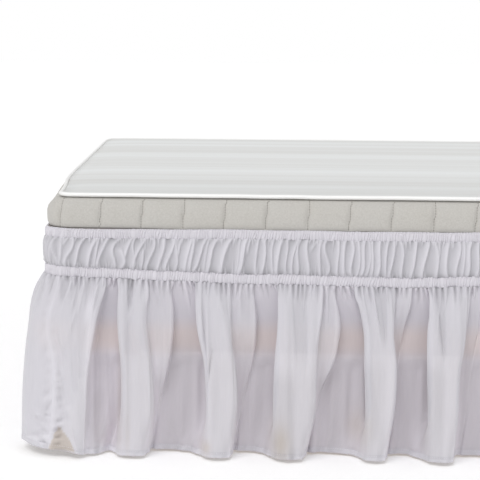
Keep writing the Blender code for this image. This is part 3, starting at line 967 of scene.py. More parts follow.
def sewnEdges(s, r, drop, seed):
    # the sewn edges, pinched and puckered, with painted light and shade along the puckers and a
    # lighter line along the seam
    fromEdge = np.minimum(s - s[:, :1], s[:, -1:] - s)
    sewn = smoothStep(drop, 0.01, 0.06)
    swing = 2 * math.pi * drop / gathers["seamPuffStep"] + 2.5 * np.sin(drop * 43 + seed)
    swing = swing + 260 * fromEdge
    r = r - gathers["seamPinch"] * np.exp(-fromEdge / 0.0030) * sewn
    grow = smoothStep(drop, 0.05, 0.30) * (0.55 + 0.45 * np.sin(drop * 61 + 1.3 * seed))
    puckers = bump(fromEdge - 0.007, 0.005) * np.sin(swing) * sewn * (0.25 + grow)
    seamPaintedShading = paintedShading["seamPuff"] * puckers + paintedShading["seam"] * bump(fromEdge, 0.004) * sewn
    return r + gathers["seamPuff"] * puckers, seamPaintedShading


def walkedAlong(s, r):
    return np.concatenate([[0], np.cumsum(np.hypot(np.diff(s), np.diff(r)))])


def hemRipple(s, r, seed):
    picker = random.Random(seed + 70)
    walked = walkedAlong(s, r)
    return sum(np.sin(2 * math.pi * walked / picker.uniform(0.012, 0.045) + picker.uniform(0, 6.3))
               for _ in range(7)) / 3


def turnedHem(s, r):
    # the rows of the hem's turned-up inside
    ds, dr = np.gradient(s[-1]), np.gradient(r[-1])
    size = np.maximum(np.hypot(ds, dr), 1e-6)
    inS, inR = dr / size, -ds / size
    return (np.vstack([s, *(s[-1] + inside * inS for _, inside in hemRows)]),
            np.vstack([r, *(r[-1] + inside * inR for _, inside in hemRows)]))


def hangingHeights(x, y, s, r, z, ripple):
    z = z + bandLift(x, y, z)
    past, draw = np.mod(-s, outlineLength), cornerDraw
    drawn = smoothStep(past, *draw["start"]) * (1 - smoothStep(past, *draw["end"]))
    lift = draw["lift"] + draw["more"] * smoothStep(past, *draw["moreFrom"])
    z = z + lift * drawn * smoothStep(-z, -0.19, -0.01)
    # a front that slants outwards ends higher than cloth that hangs straight
    z = z + 0.5 * r**2 / dropKeys[-1] * smoothStep(-z, -0.30, -0.01)
    return z + 0.0010 * (1 + ripple / 2.4) * smoothStep(-z, -0.03, -0.005)


def skirtWidth(width, lines, ridges, hanging, creases, facets, shades):
    name, seed = width["name"], width["seed"]
    heights = rowHeights(width["headerStep"], width["dropStep"])
    s, r, lineColumns = clothGrid(width, lines, heights)
    rows, columns = s.shape
    full = np.ones((1, columns))
    drop = (cloth["lowerBandBottom"] - heights)[:, None] * full
    low = np.sort(s[0])[None, :] * np.ones((rows, 1))  # each column's place along the lower band
    headSpan = cloth["upperBandBottom"] - cloth["lowerBandTop"]
    share = np.clip((cloth["upperBandBottom"] - heights) / headSpan, 0, 1)[:, None] * full
    toBand = np.minimum(share, 1 - share) * headSpan
    inHeader = ((heights <= cloth["upperBandBottom"]) & (heights >= cloth["lowerBandTop"]))[:, None]
    # the header's columns are even; they find their folds behind the lower band
    even = np.linspace(width["start"], width["end"], columns)[None, :]
    s = np.where(drop < -gathers["evenAbove"], even, np.where(drop <= 0, low, s))
    below = drop > 0
    layers = np.clip(r / (gathers["doubledReach"] * np.maximum(fallShare(drop), 0.02)), 0, 1.2)
    layers = np.where(below, curveAt(layers, paintedShading["layers"]), 1.0)
    # plan normals of the broad form
    ds, dr = np.gradient(s, axis=1), np.gradient(r, axis=1)
    size = np.maximum(np.hypot(ds, dr), 1e-6)
    normalS, normalR = np.where(below, -dr / size, 0), np.where(below, ds / size, 1)
    # gathers under the lower band, fading down the drop
    teeth, notches = (creaseField(low, drop, found, highest=True) for found in hanging)
    creased, shaded = creaseField(s, drop, creases), facetField(s, drop, facets)
    field = creased + teeth - gathers["notchDepth"] * notches - gathers["facetDepth"] * shaded
    field = field * (0.75 + 0.25 * smoothStep(drop, 0, 0.004)) + softWaves(s, drop, seed)
    field = np.where(below, field, 0)
    head = np.where(inHeader, headerField(s, share, ridges, seed), 0)
    # painted shade in the hollows between the folds is a line's negative gleam
    hollow = np.interp(np.arange(columns), lineColumns, [min(gleam, 0) for _, _, gleam in lines])
    # the shades add painted shade, and painted light where negative, and change no form
    shaded = shaded + facetField(s, drop, shades, 0.006)
    relief = dropPaintedShading(drop, layers, normalS, creased, teeth, notches, shaded, hollow)
    relief = np.where(inHeader, headerPaintedShading(s, head, toBand), np.where(below, relief, 0.0))
    puff = gathers["headerPuff"] * np.sin(math.pi * share) ** 0.7 * inHeader
    edges = 0.60 + 0.40 * np.clip(np.minimum(share, 1 - share) / 0.05, 0, 1)
    edgeFade = np.clip(np.minimum(s - s[:, :1], s[:, -1:] - s) / gathers["edgeFade"], 0, 1)
    field = (field + head * edges) * edgeFade + puff
    headRise = gathers["headerReach"] - gathers["bandReach"]
    headRoot = gathers["bandReach"] + headRise * np.clip(toBand / gathers["bandRamp"], 0, 1)
    outerRoot = np.where(below, gathers["edgeReach"], gathers["hiddenReach"])
    root = np.where(inHeader, headRoot, outerRoot)
    s = s + field * normalS
    r = r + root + field * normalR
    # it lies on the base and the rail, and leaves them softly below
    hold = smoothStep(heights, *cloth["clearHeights"])[:, None]
    least = np.where(below, cloth["clearReach"], gathers["seatReach"]) * hold
    r = np.maximum(r, least - gathers["looseDepth"] * (1 - hold))
    r, seamPaintedShading = sewnEdges(s, r, drop, seed)
    relief = relief + seamPaintedShading
    ripple = hemRipple(s[-1], r[-1], seed)
    nearHem = smoothStep(drop, dropKeys[-1] - gathers["hemPuckerHeight"], dropKeys[-1])
    r = r + gathers["hemPucker"] * ripple * nearHem
    # the stitched line stands in a little from the cloth above and the puffed hem below
    toStitches = drop - dropKeys[-1] + cloth["hemTurnUp"]
    r = r - gathers["stitchDent"] * bump(toStitches, gathers["stitchWidth"])
    sway = spreadRows(seamSway, drop[:, 0])
    s[:, 0] = width["start"] + sway - seamLap / 2
    s[:, -1] = width["end"] + sway + seamLap / 2
    if width["under"]:
        r[:, [0, -1]] -= gathers["lapDepth"]
    s, r = turnedHem(s, r)
    heights = np.concatenate([heights, [cloth["hem"] + lift for lift, _ in hemRows]])
    x, y = onOutline(s, r)
    z = hangingHeights(x, y, s, r, heights[:, None] * full, ripple)
    # the doubled hem lets less through, its ripples get painted light and shade, and a line of
    # painted shade runs along its stitches
    layers, relief, drop = (np.vstack([v, np.repeat(v[-1:], len(hemRows), axis=0)])
                            for v in (layers, relief, drop))
    turnUp = cloth["hem"] + cloth["hemTurnUp"]
    hemShare = smoothStep(-z, -turnUp - 0.002, -turnUp + 0.001)
    single = 1 - np.clip(layers, 0, 1)
    hemPaintedShading = paintedShading["hemSingle"] * single + paintedShading["hem"] + paintedShading["hemRipple"] * ripple
    relief = relief + hemPaintedShading * hemShare
    layers = np.clip(layers + paintedShading["hemLayers"] * hemShare, 0, 1.0)
    relief = relief - paintedShading["hemStitch"] * bump(z - turnUp - 0.0015, 0.0016)
    # painted highlights along the fold edges, softer towards the hem
    gleam = sum(bright * np.exp(-np.abs(np.arange(columns) - at) / width["gleamColumns"])
                for at, (_, _, bright) in zip(lineColumns, lines) if bright > 0)
    softer = 1 - 0.5 * smoothStep(drop, *lowerDrop)
    gleam = gleam[None, :] * smoothStep(drop, 0.004, 0.03) * softer
    walked = walkedAlong(s[rows - 1], r[rows - 1])
    drops = np.concatenate([[0], np.cumsum(np.abs(np.diff(heights)))])
    uv = np.stack(np.broadcast_arrays(walked[None, :], drops[:, None]), axis=-1)
    points = np.stack([x, y, z], axis=-1)
    # rows run downwards, so the faces are wound to look outwards
    faces = [face[::-1] for face in gridFaces(len(heights), columns)]
    piece = newMesh(name, points.reshape(-1, 3).tolist(), faces, voile, uv.reshape(-1, 2))
    paint = piece.data.color_attributes.new("showThroughAndPaintedShade", "FLOAT_COLOR", "POINT")
    paint.data.foreach_set("color", showThroughAndPaintedShade(layers, relief, z, gleam, s, drop).ravel())
    stitchRow = rows - 1 - np.argmin(np.abs(heights[rows - 1::-1] - turnUp + 0.001))
    return piece, (float(walked[-1]), float(drops[-1])), points[stitchRow]


def spreadRows(values, drop):
    return np.array([spread(dropKeys, values, min(max(at, 0.0), dropKeys[-1])) for at in drop])


print("gathered widths")
ruledStart = footFolds[-1]["edge"][3] * 0.001 + foldRule["spacing"]
footAll = [*footFolds, *ruledFolds(ruledStart, seam - 0.082, 5)]


def withValleys(folds):
    lines = []
    before = None
    for fold in folds:
        made = foldLines(fold)
        if before is not None:
            middle = 0.5 * (before + made[0][0])
            lines.append((middle, valleyReaches + 0.003, -fold["hollow"]))
        lines += made
        before = made[-1][0]
    return lines


def widthLines(start, end, folds, leftEdges, rightEdges):
    left = cornerLines(start, 1, leftEdges, seamSway)
    right = cornerLines(end, -1, rightEdges, seamSway)[::-1]
    middle = withValleys(folds)
    gap = 0.5 * (left[-1][0] + middle[0][0])
    left.append((gap, cornerValley - 0.006, 0))
    return left + middle + right


def millimetresIn(place, *steps):
    return tuple(1000 * place + step for step in steps)


# The widths: where each starts and ends along the outline, the columns' pitch before and after a
# change, fine only where the view comes near, and whether its edges are tucked under its
# neighbours'
leftSeam, leftFarSeam = outlineLength - seam, outlineLength - farSeam
sideSteps = {"headerStep": 0.0060, "dropStep": 0.0110}
widths = (
    {"name": "skirtFoot", "node": "skirt_foot", "start": -seam, "end": seam, "seed": 11,
     "under": False, "pitches": (0.00175, 0.0028), "change": 0.11, "gleamColumns": 1.1,
     "headerStep": 0.0042, "dropStep": 0.0100},
    {"name": "skirtRight", "node": "skirt_right", "start": seam, "end": farSeam, "seed": 12,
     "under": True, "pitches": (0.0032, 0.0044), "change": seam + 0.40, "gleamColumns": 1.4,
     **sideSteps},
    {"name": "skirtHead", "node": "skirt_head", "start": farSeam, "end": leftFarSeam, "seed": 13,
     "under": False, "pitches": (0.0044, 0.0044), "change": farSeam, "gleamColumns": 1.2,
     **sideSteps},
    {"name": "skirtLeft", "node": "skirt_left", "start": leftFarSeam, "end": leftSeam, "seed": 14,
     "under": True, "pitches": (0.0044, 0.0032), "change": leftSeam - 0.40, "gleamColumns": 1.4,
     **sideSteps},
)
cornerFront = (88, 75, 62, 54)  # how far in from the seam a corner's front ends, in millimetres
hemLines, panels = [], []
for width in widths:
    start, end, seed, node = (width[key] for key in ("start", "end", "seed", "node"))
    hanging = ruledTeeth(start, end, seed)
    leftEdges = millimetresIn(start, *cornerFront)
    rightEdges = millimetresIn(end, *(-step for step in cornerFront))
    creases, facets, shades = [], [], []
    if node == "skirt_foot":
        leftEdges = (-648, -664, -679, -685)
        folds = footAll
        ridges = handRidges(headerRidges) + ruledHeader(0.068, end, seed)
        creases = handMarks(footCreases, last=0.001) + handMarks(seamCreases, last=0.001)
        facets, shades = handMarks(footFacets), handMarks(footShades)
    else:
        folds = ruledFolds(start + 0.082, end - 0.082, seed)
        ridges = ruledHeader(start, end, seed)
    if node == "skirt_left":
        ridges = ruledHeader(start, end - 0.064, seed) + handRidges(cornerRidges, outlineLength)
        creases = handMarks(cornerCreases, outlineLength, 0.001)
        facets = handMarks(cornerFacets, outlineLength)
    facets = facets + ruledFacets(folds, seed, node != "skirt_foot")
    lines = widthLines(start, end, folds, leftEdges, rightEdges)
    piece, flat, hemLine = skirtWidth(width, lines, ridges, hanging, creases, facets, shades)
    hemLines.append(hemLine)
    panels.append((piece, node, flat))
    print(width["name"], "faces", len(piece.data.polygons), "flat", [round(v, 3) for v in flat])


# shirred bands over the elastic
print("shirred bands")
shirring = {
    "Rib Pitch": 0.0051,
    "Rib Depth": 0.0023,
    "Reach": 0.0040,
    "Rows": 7,
    "Slant": 0.0020,
    "Wobble": 0.9,
    "Scallop": 0.0017,
    "Path Length": outlineLength,
    "Finish": shirredVoile,
    "ribSteps": 7,
    "rimTurn": 0.0012,
    "topTurn": 0.0060,
    "topFrom": 0.93,
}


# the sums of the band's tree: result, operation, inputs
shirringSums = (
    ("u", "ADD", "X", 0.5), ("v", "ADD", "Y", 0.5),
    ("around", "MULTIPLY", "u", 2 * math.pi), ("radius", "DIVIDE", "Path Length", 2 * math.pi),
    ("cosine", "COSINE", "around"), ("sine", "SINE", "around"),
    ("ringX", "MULTIPLY", "cosine", "radius"), ("ringY", "MULTIPLY", "sine", "radius"),
    ("ringZ", "MULTIPLY", "v", 0.006),
    ("wanderSeed", "ADD", "Seed", 0.0), ("swellSeed", "ADD", "Seed", 7.0),
    ("raggedSeed", "ADD", "Seed", 13.0),
    # the ribs, unevenly spaced and of uneven height
    ("pitches", "DIVIDE", "Path Length", "Rib Pitch"), ("ribCount", "ROUND", "pitches"),
    ("evenRibs", "MULTIPLY", "u", "ribCount"), ("offset", "SUBTRACT", "wander", 0.5),
    ("swing", "MULTIPLY", "Wobble", 4.0), ("shift", "MULTIPLY", "offset", "swing"),
    ("ribs", "ADD", "evenRibs", "shift"), ("phase", "MULTIPLY", "ribs", math.pi),
    ("wave", "SINE", "phase"), ("crest", "ABSOLUTE", "wave"), ("ridge", "POWER", "crest", 0.8),
    ("uneven", "MULTIPLY_ADD", "swell", 1.1, 0.45), ("rise", "MULTIPLY", "ridge", "uneven"),
    ("relief", "MULTIPLY", "rise", "Rib Depth"),
    # how far out: less at both rims, and less again at a straight top
    ("fromMiddle", "MULTIPLY_ADD", "v", 2.0, -1.0), ("toRim", "ABSOLUTE", "fromMiddle"),
    ("rim", "POWER", "toRim", 4.0), ("rimTurn", "MULTIPLY", "rim", shirring["rimTurn"]),
    ("plain", "SUBTRACT", "Reach", "rimTurn"), ("ribbed", "ADD", "plain", "relief"),
    ("topTurn", "MULTIPLY", "Straight Top", -shirring["topTurn"]),
    ("atTop", "GREATER_THAN", "v", shirring["topFrom"]), ("turned", "MULTIPLY", "atTop", "topTurn"),
    ("reach", "ADD", "ribbed", "turned"),
    # how far along, with a lean
    ("above", "SUBTRACT", "v", 0.5), ("lean", "MULTIPLY", "above", "Slant"),
    ("walked", "MULTIPLY", "u", "Path Length"), ("leaning", "ADD", "walked", "lean"),
    ("distance", "WRAP", "leaning", "Path Length", 0.0),
    # how high, with scalloped and ragged rims
    ("straight", "SUBTRACT", 2.0, "Straight Top"), ("side", "MULTIPLY_ADD", "v", "straight", -1.0),
    ("edge", "MULTIPLY", "side", "Scallop"), ("up", "MULTIPLY", "v", "Band Height"),
    ("level", "ADD", "Band Bottom", "up"), ("lobe", "MULTIPLY_ADD", "ridge", 1.0, -0.4),
    ("lobed", "MULTIPLY", "edge", "lobe"), ("scalloped", "ADD", "level", "lobed"),
    ("fray", "MULTIPLY_ADD", "ragged", 6.0, -3.0), ("frayed", "MULTIPLY", "edge", "fray"),
    ("height", "ADD", "scalloped", "frayed"),
)


def shirringTree():
    tree, take = newTree("shirredBand", (
        "Band Bottom", "Band Height", "Path Length", "Rib Pitch", "Rib Depth", "Reach", "Slant",
        "Wobble", "Scallop", "Straight Top", "Seed"), ("Columns", "Rows"))
    # a flat grid, one metre square: u runs along the band and v up it
    grid = addNode(tree, "GeometryNodeMeshGrid", {
        "Size X": 1.0, "Size Y": 1.0, "Vertices X": take["Columns"], "Vertices Y": take["Rows"]})
    place = addNode(tree, "GeometryNodeInputPosition")
    split = addNode(tree, "ShaderNodeSeparateXYZ", {0: place.outputs[0]})
    noises = {
        name: addNode(tree, "ShaderNodeTexNoise", {"Scale": scale, "Detail": detail},
                      noise_dimensions="4D")
        for name, scale, detail in (("wander", 70.0, 1.0), ("swell", 130.0, 1.0),
                                    ("ragged", 95.0, 2.0))
    }
    made = {socket.name: socket for socket in (*take, *split.outputs)}
    made.update((name, node.outputs["Fac"]) for name, node in noises.items())
    for result, operation, *values in shirringSums:
        inputs = {i: made.get(value, value) for i, value in enumerate(values)}
        made[result] = addNode(tree, "ShaderNodeMath", inputs, operation=operation).outputs[0]
    # the noise is drawn on a ring, so that it closes
    ring = addNode(tree, "ShaderNodeCombineXYZ", {
        "X": made["ringX"], "Y": made["ringY"], "Z": made["ringZ"]})
    for name, node in noises.items():
        tree.links.new(ring.outputs[0], node.inputs["Vector"])
        tree.links.new(made[name + "Seed"], node.inputs["W"])
    path = addNode(tree, "GeometryNodeMeshToCurve", {0: take["Geometry"]})
    sample = addNode(tree, "GeometryNodeSampleCurve", {
        "Curves": path.outputs[0], "Length": made["distance"]}, mode="LENGTH", data_type="FLOAT")
    outward = addNode(tree, "ShaderNodeVectorMath", {
        0: sample.outputs["Tangent"], 1: (0.0, 0.0, 1.0)}, operation="CROSS_PRODUCT")
    unit = addNode(tree, "ShaderNodeVectorMath", {0: outward.outputs[0]}, operation="NORMALIZE")
    push = addNode(tree, "ShaderNodeVectorMath", {0: unit.outputs[0], "Scale": made["reach"]},
                   operation="SCALE")
    flat = addNode(tree, "ShaderNodeVectorMath", {
        0: sample.outputs["Position"], 1: push.outputs[0]}, operation="ADD")
    lift = addNode(tree, "ShaderNodeCombineXYZ", {"Z": made["height"]})
    final = addNode(tree, "ShaderNodeVectorMath", {0: flat.outputs[0], 1: lift.outputs[0]},
                    operation="ADD")
    moved = addNode(tree, "GeometryNodeSetPosition",
                    {"Geometry": grid.outputs["Mesh"], "Position": final.outputs[0]})
    metres = addNode(tree, "ShaderNodeCombineXYZ", {"X": made["walked"], "Y": made["up"]})
    withMap = addNode(tree, "GeometryNodeStoreNamedAttribute", {
        "Geometry": moved.outputs[0], "Name": "clothMetres", "Value": metres.outputs[0]},
        data_type="FLOAT2", domain="CORNER")
    return endTree(tree, withMap.outputs[0], take["Finish"])


# the path of both bands, starting at the middle of the head end
pathPlaces = outlineLength / 2 + np.linspace(0, outlineLength, 1800, endpoint=False)
pathCount = len(pathPlaces)
pathPoints = [(x, y, 0.0) for x, y in zip(*onOutline(pathPlaces, 0.0))]
pathEdges = [(i, (i + 1) % pathCount) for i in range(pathCount)]
bandTree = shirringTree()
bands = []
for name, node, bottom, top, straight, seed in (
    ("upperShirring", "upper_elastic", cloth["upperBandBottom"], cloth["top"], 0.75, 4.0),
    ("lowerShirring", "lower_elastic", cloth["lowerBandBottom"], cloth["lowerBandTop"], 0.15, 7.0),
):
    columns = round(outlineLength / shirring["Rib Pitch"]) * shirring["ribSteps"]
    piece = bakeNodes(pathHolder(name, pathPoints, pathEdges), bandTree, {
        **shirring, "Band Bottom": bottom, "Band Height": top - bottom, "Straight Top": straight,
        "Seed": seed, "Columns": columns}, name)
    points = np.empty(3 * len(piece.data.vertices))
    piece.data.vertices.foreach_get("co", points)
    points = points.reshape(-1, 3)
    points[:, 2] += bandLift(points[:, 0], points[:, 1], points[:, 2])
    piece.data.vertices.foreach_set("co", points.ravel())
    piece.data.update()
    bands.append((piece, node))
    print(name, "faces", len(piece.data.polygons))


# stitches
print("stitches")
hemStitch = {"Pitch": 0.0046, "Length": 0.0034, "Thickness": 0.0006, "Finish": whiteThread}
quiltStitch = {"Pitch": 0.0050, "Length": 0.0046, "Thickness": 0.0017, "Finish": greyThreadAndSeamShade}


def stitchTree():
    tree, take = newTree("stitchRun", ("Pitch", "Length", "Thickness"))
    path = addNode(tree, "GeometryNodeMeshToCurve", {0: take["Geometry"]}).outputs[0]
    points = addNode(tree, "GeometryNodeResampleCurve", {"Curve": path, "Length": take["Pitch"]},
                     mode="LENGTH").outputs[0]
    stitch = addNode(tree, "GeometryNodeMeshUVSphere", {"Segments": 6, "Rings": 4, "Radius": 0.5})
    tangent = addNode(tree, "GeometryNodeInputTangent").outputs[0]
    facing = addNode(tree, "FunctionNodeAlignRotationToVector", {"Vector": tangent},
                     axis="X").outputs[0]
    size = addNode(tree, "ShaderNodeCombineXYZ",
                   {"X": take["Length"], "Y": take["Thickness"], "Z": take["Thickness"]})
    placed = addNode(tree, "GeometryNodeInstanceOnPoints", {
        "Points": points, "Instance": stitch.outputs["Mesh"], "Rotation": facing,
        "Scale": size.outputs[0]}).outputs[0]
    return endTree(tree, placed, take["Finish"])


stitchNodes = stitchTree()


def stitchRun(name, runs, sizes):
    points, edges = [], []
    for run in runs:
        first = len(points)
        points += [tuple(map(float, p)) for p in run]
        edges += [(i, i + 1) for i in range(first, len(points) - 1)]
    return bakeNodes(pathHolder(name, points, edges), stitchNodes, sizes, name)


hemStitches = [stitchRun(piece.name + "HemStitches", [hemLine], hemStitch)
               for (piece, _, _), hemLine in zip(panels, hemLines)]


# mattress and its piping
print("mattress")
mattress = {
    "bottom": baseHigh.z + 0.0003,
    "pipingRadius": 0.0040,
    "pipingInset": 0.009,
    "sideInset": 0.008,
    "cornerInset": 0.020,
    "footInset": 0.0042,
    "quiltPitch": 0.0799,
    "quiltStart": 0.062,
    "swell": 0.0074,
    "seamLean": 0.006,
    "columnStep": 0.0030,
    "topStep": 0.030,
    "rim": 0.009,
    "seamWidth": 0.0038,
    "mostBulge": 0.0060,
    "panelInset": 0.0175,
    "panelGrid": 0.030,
    "panelDrop": 0.0030,
    "crown": 0.0045,
    "crownReach": 0.05,
    "hollow": 0.0016,
    "pipingSides": 14,
    "pipingStep": 0.010,
    "pipingSway": 0.0006,
    "pipingLift": 0.0007,
}
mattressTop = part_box("mattress")[1].z
# The border from the bottom up: share of its height, reach past the outline, share of the quilted
# swell
profile = (
    (0.00, -0.010, 0.0), (0.00, -0.005, 0.0), (0.015, -0.0015, 0.1), (0.06, 0.000, 0.45),
    (0.14, 0.0015, 0.75), (0.26, 0.0020, 0.95), (0.40, 0.0022, 1.0), (0.54, 0.0020, 1.0),
    (0.68, 0.0008, 0.95), (0.80, -0.0015, 0.8), (0.89, -0.0050, 0.55), (0.94, -0.0085, 0.3),
    (0.965, -0.0130, 0.1), (0.97, -0.0160, 0.0), (1.10, -0.0185, 0.0),
)

# knitted ticking, grey beige with a fine speckle of darker yarn
ticking, tree, shader = newFinish("knittedTicking", Roughness=0.88, Sheen_Weight=0.2)
spot = addNode(tree, "ShaderNodeTexCoord").outputs["Object"]
grain, cloudy = (addNode(tree, "ShaderNodeTexNoise", {
    "Vector": spot, "Scale": scale, "Detail": 2.0}).outputs["Fac"] for scale in (420.0, 14.0))
yarn = addNode(tree, "ShaderNodeMix", {
    "Factor": grain, 6: hexLinear("#B0ADA8"), 7: hexLinear("#CAC8C4")}, data_type="RGBA")
warm = addNode(tree, "ShaderNodeMix", {
    "Factor": cloudy, 6: yarn.outputs[2], 7: hexLinear("#FAF9F7")},
    data_type="RGBA", blend_type="MULTIPLY")
relief = addNode(tree, "ShaderNodeBump", {"Height": grain, "Distance": 0.0004, "Strength": 0.5})
tree.links.new(warm.outputs[2], shader.inputs["Base Color"])
tree.links.new(relief.outputs["Normal"], shader.inputs["Normal"])

# stretch-knit top panel, pale grey with wide soft stripes across the bed
topPanel, tree, shader = newFinish("stretchKnitPanel", Roughness=0.85, Sheen_Weight=0.2)
spot = addNode(tree, "ShaderNodeTexCoord").outputs["Object"]
broad = addNode(tree, "ShaderNodeMapping", {"Vector": spot, "Scale": (0.15, 8.0, 1.0)})
soft = addNode(tree, "ShaderNodeTexNoise", {
    "Vector": broad.outputs[0], "Scale": 1.0, "Detail": 3.0})
stripe = addNode(tree, "ShaderNodeMapRange", {
    "Value": soft.outputs["Fac"], "From Min": 0.32, "From Max": 0.68})
striped = addNode(tree, "ShaderNodeMix", {
    "Factor": stripe.outputs[0], 6: hexLinear("#DCDCDA"), 7: hexLinear("#EAECEC")},
    data_type="RGBA")
# the panel is drawn darker towards the foot end
alongBed = addNode(tree, "ShaderNodeSeparateXYZ", {0: spot})
towardsFoot = addNode(tree, "ShaderNodeMapRange", {
    "Value": alongBed.outputs["Y"], "From Min": -1.02, "From Max": -0.45, "To Min": 0.92,
    "To Max": 1.0})
shade = addNode(tree, "ShaderNodeMix", {
    "Factor": 1.0, 6: striped.outputs[2], 7: towardsFoot.outputs[0]},
    data_type="RGBA", blend_type="MULTIPLY")
knit = addNode(tree, "ShaderNodeTexNoise", {"Vector": spot, "Scale": 300.0, "Detail": 2.0})
relief = addNode(tree, "ShaderNodeBump", {
    "Height": knit.outputs["Fac"], "Distance": 0.0003, "Strength": 0.5})
tree.links.new(shade.outputs[2], shader.inputs["Base Color"])
tree.links.new(relief.outputs["Normal"], shader.inputs["Normal"])

# woven cotton-blend tape round a cord: bright white, with the tape's slanting threads
pipingTape, tree, shader = newFinish("wovenPipingTape", Roughness=0.7)
metres = addNode(tree, "ShaderNodeUVMap", uv_map="clothMetres")
slanted = addNode(tree, "ShaderNodeMapping", {
    "Vector": metres.outputs["UV"], "Rotation": (0.0, 0.0, 0.8)})
twill = addNode(tree, "ShaderNodeTexWave", {
    "Vector": slanted.outputs[0], "Scale": 0.314 / 0.0016}, bands_direction="X").outputs["Fac"]
tape = addNode(tree, "ShaderNodeMix", {
    "Factor": twill, 6: hexLinear("#F0F0EE"), 7: hexLinear("#F8F8F7")}, data_type="RGBA")
relief = addNode(tree, "ShaderNodeBump", {"Height": twill, "Distance": 0.0002, "Strength": 0.5})
tree.links.new(tape.outputs[2], shader.inputs["Base Color"])
tree.links.new(relief.outputs["Normal"], shader.inputs["Normal"])


def sideInset(walked):
    # the piping stands further in along the sides than across the ends
    walked = np.mod(walked, outlineLength)
    corners = sum(bump(walked - 0.5 * (outlineMarks[i] + outlineMarks[i + 1]), 0.075)
                  for i in (3, 5))
    wider = 1 - 1.5 * smoothStep(outlineAt(walked, outlineY), -0.95, -0.50)
    onSide = np.cos(outlineAt(walked, outlineTurn)) ** 2
    return mattress["sideInset"] * wider * onSide + mattress["cornerInset"] * corners


def footInset(walked):
    # the border lies a little further in at the foot end of the sides
    onSide = np.cos(outlineAt(walked, outlineTurn)) ** 2
    nearFoot = 1 - smoothStep(outlineAt(walked, outlineY), -0.95, -0.60)
    return mattress["footInset"] * onSide * nearFoot


def mattressBody():
    count = round(outlineLength / mattress["columnStep"])
    walked = outlineLength * np.arange(count) / count
    pitch = outlineLength / round(outlineLength / mattress["quiltPitch"])
    height = mattressTop - mattress["rim"] - mattress["bottom"]
    picker = random.Random(31)
    waves = [(picker.uniform(0.05, 0.2), picker.uniform(0, 6.3)) for _ in range(8)]
    turns = 2 * math.pi * walked / outlineLength
    wander = sum(np.sin(np.round(outlineLength / w) * turns + p) for w, p in waves) / len(waves)
    rings, seamPlaces = [], []
    for share, inset, fullness in profile:
        lean = mattress["seamLean"] * (share - 0.4) + 0.0007 * math.sin(14 * share)
        phase = np.mod((walked - mattress["quiltStart"] - lean) / pitch, 1.0)
        toSeam = np.minimum(phase, 1 - phase) * pitch
        pillow = 1 - np.exp(-toSeam / mattress["seamWidth"])
        if inset < 0 and share == 0:
            inset = inset * (1 - 0.85 * smoothStep(outlineAt(walked, outlineX), -0.70, -0.50))
        bulge = inset + fullness * (mattress["swell"] * (pillow - 0.60) + 0.0006 * wander) + 0.001
        upper = min(max((share - 0.60) / 0.35, 0.0), 1.0) ** 1.5
        bulge = bulge - sideInset(walked) * upper - footInset(walked)
        x, y = onOutline(walked, np.minimum(bulge, mattress["mostBulge"]))
        rings.append(np.stack([x, y, np.full(count, mattress["bottom"] + share * height)], axis=-1))
        seamPlaces.append(lean)
    points = np.concatenate(rings)
    rows = len(profile)
    faces = gridFaces(rows, count, closed=True)
    # the top panel meets the last ring and the bottom closes the first
    edge = onOutline(walked, -mattress["panelInset"] - sideInset(walked) - footInset(walked))
    limits = (bed["halfWidth"] - mattress["panelGrid"], bed["halfLength"] - mattress["panelGrid"])
    gridX, gridY = (np.linspace(-limit, limit, round(2 * limit / mattress["topStep"]))
                    for limit in limits)
    inner = [(x, y) for y in gridY for x in gridX
             if math.hypot(max(abs(x) - across, 0), max(abs(y) - along, 0)) < mattress["panelGrid"]]
    flat = [Vector(p) for p in [*zip(*edge), *inner]]
    loop = [(i, (i + 1) % count) for i in range(count)]
    verts, _, tris, origins, _, _ = delaunay_2d_cdt(flat, loop, [], 1, 1e-6)
    lastRing = (rows - 1) * count
    table, extra = {}, []
    for i, (vert, origin) in enumerate(zip(verts, origins)):
        source = min(origin) if origin else None
        if source is not None and source < count:
            table[i] = lastRing + source
        else:
            table[i] = len(points) + len(extra)
            x, y = vert
            inset = min(bed["halfWidth"] - 0.015 - abs(x), bed["halfLength"] - 0.015 - abs(y))
            crown = mattress["crown"] * (1 - math.exp(-inset / mattress["crownReach"]))
            crown = crown - mattress["hollow"] * math.sin(y * 9 + 0.6) ** 2 * min(1, inset / 0.2)
            extra.append((x, y, mattressTop - mattress["panelDrop"] + crown))
    allPoints = np.concatenate([points, np.array(extra)])
    top = [tuple(table[i] for i in face) for face in tris]
    made = newMesh("mattressBody", allPoints.tolist(), faces + top + [tuple(range(count))[::-1]],
                   ticking)
    made.data.materials.append(topPanel)
    first = len(faces)
    for i in range(first, first + len(top)):
        made.data.polygons[i].material_index = 1
    made.data.polygons[-1].use_smooth = False
    seams = []
    for k in range(round(outlineLength / pitch)):
        run = []
        for r in range(3, rows - 3):
            place = mattress["quiltStart"] + seamPlaces[r] + k * pitch
            run.append(rings[r][round(place * count / outlineLength) % count])
        seams.append(run)
    return made, seams


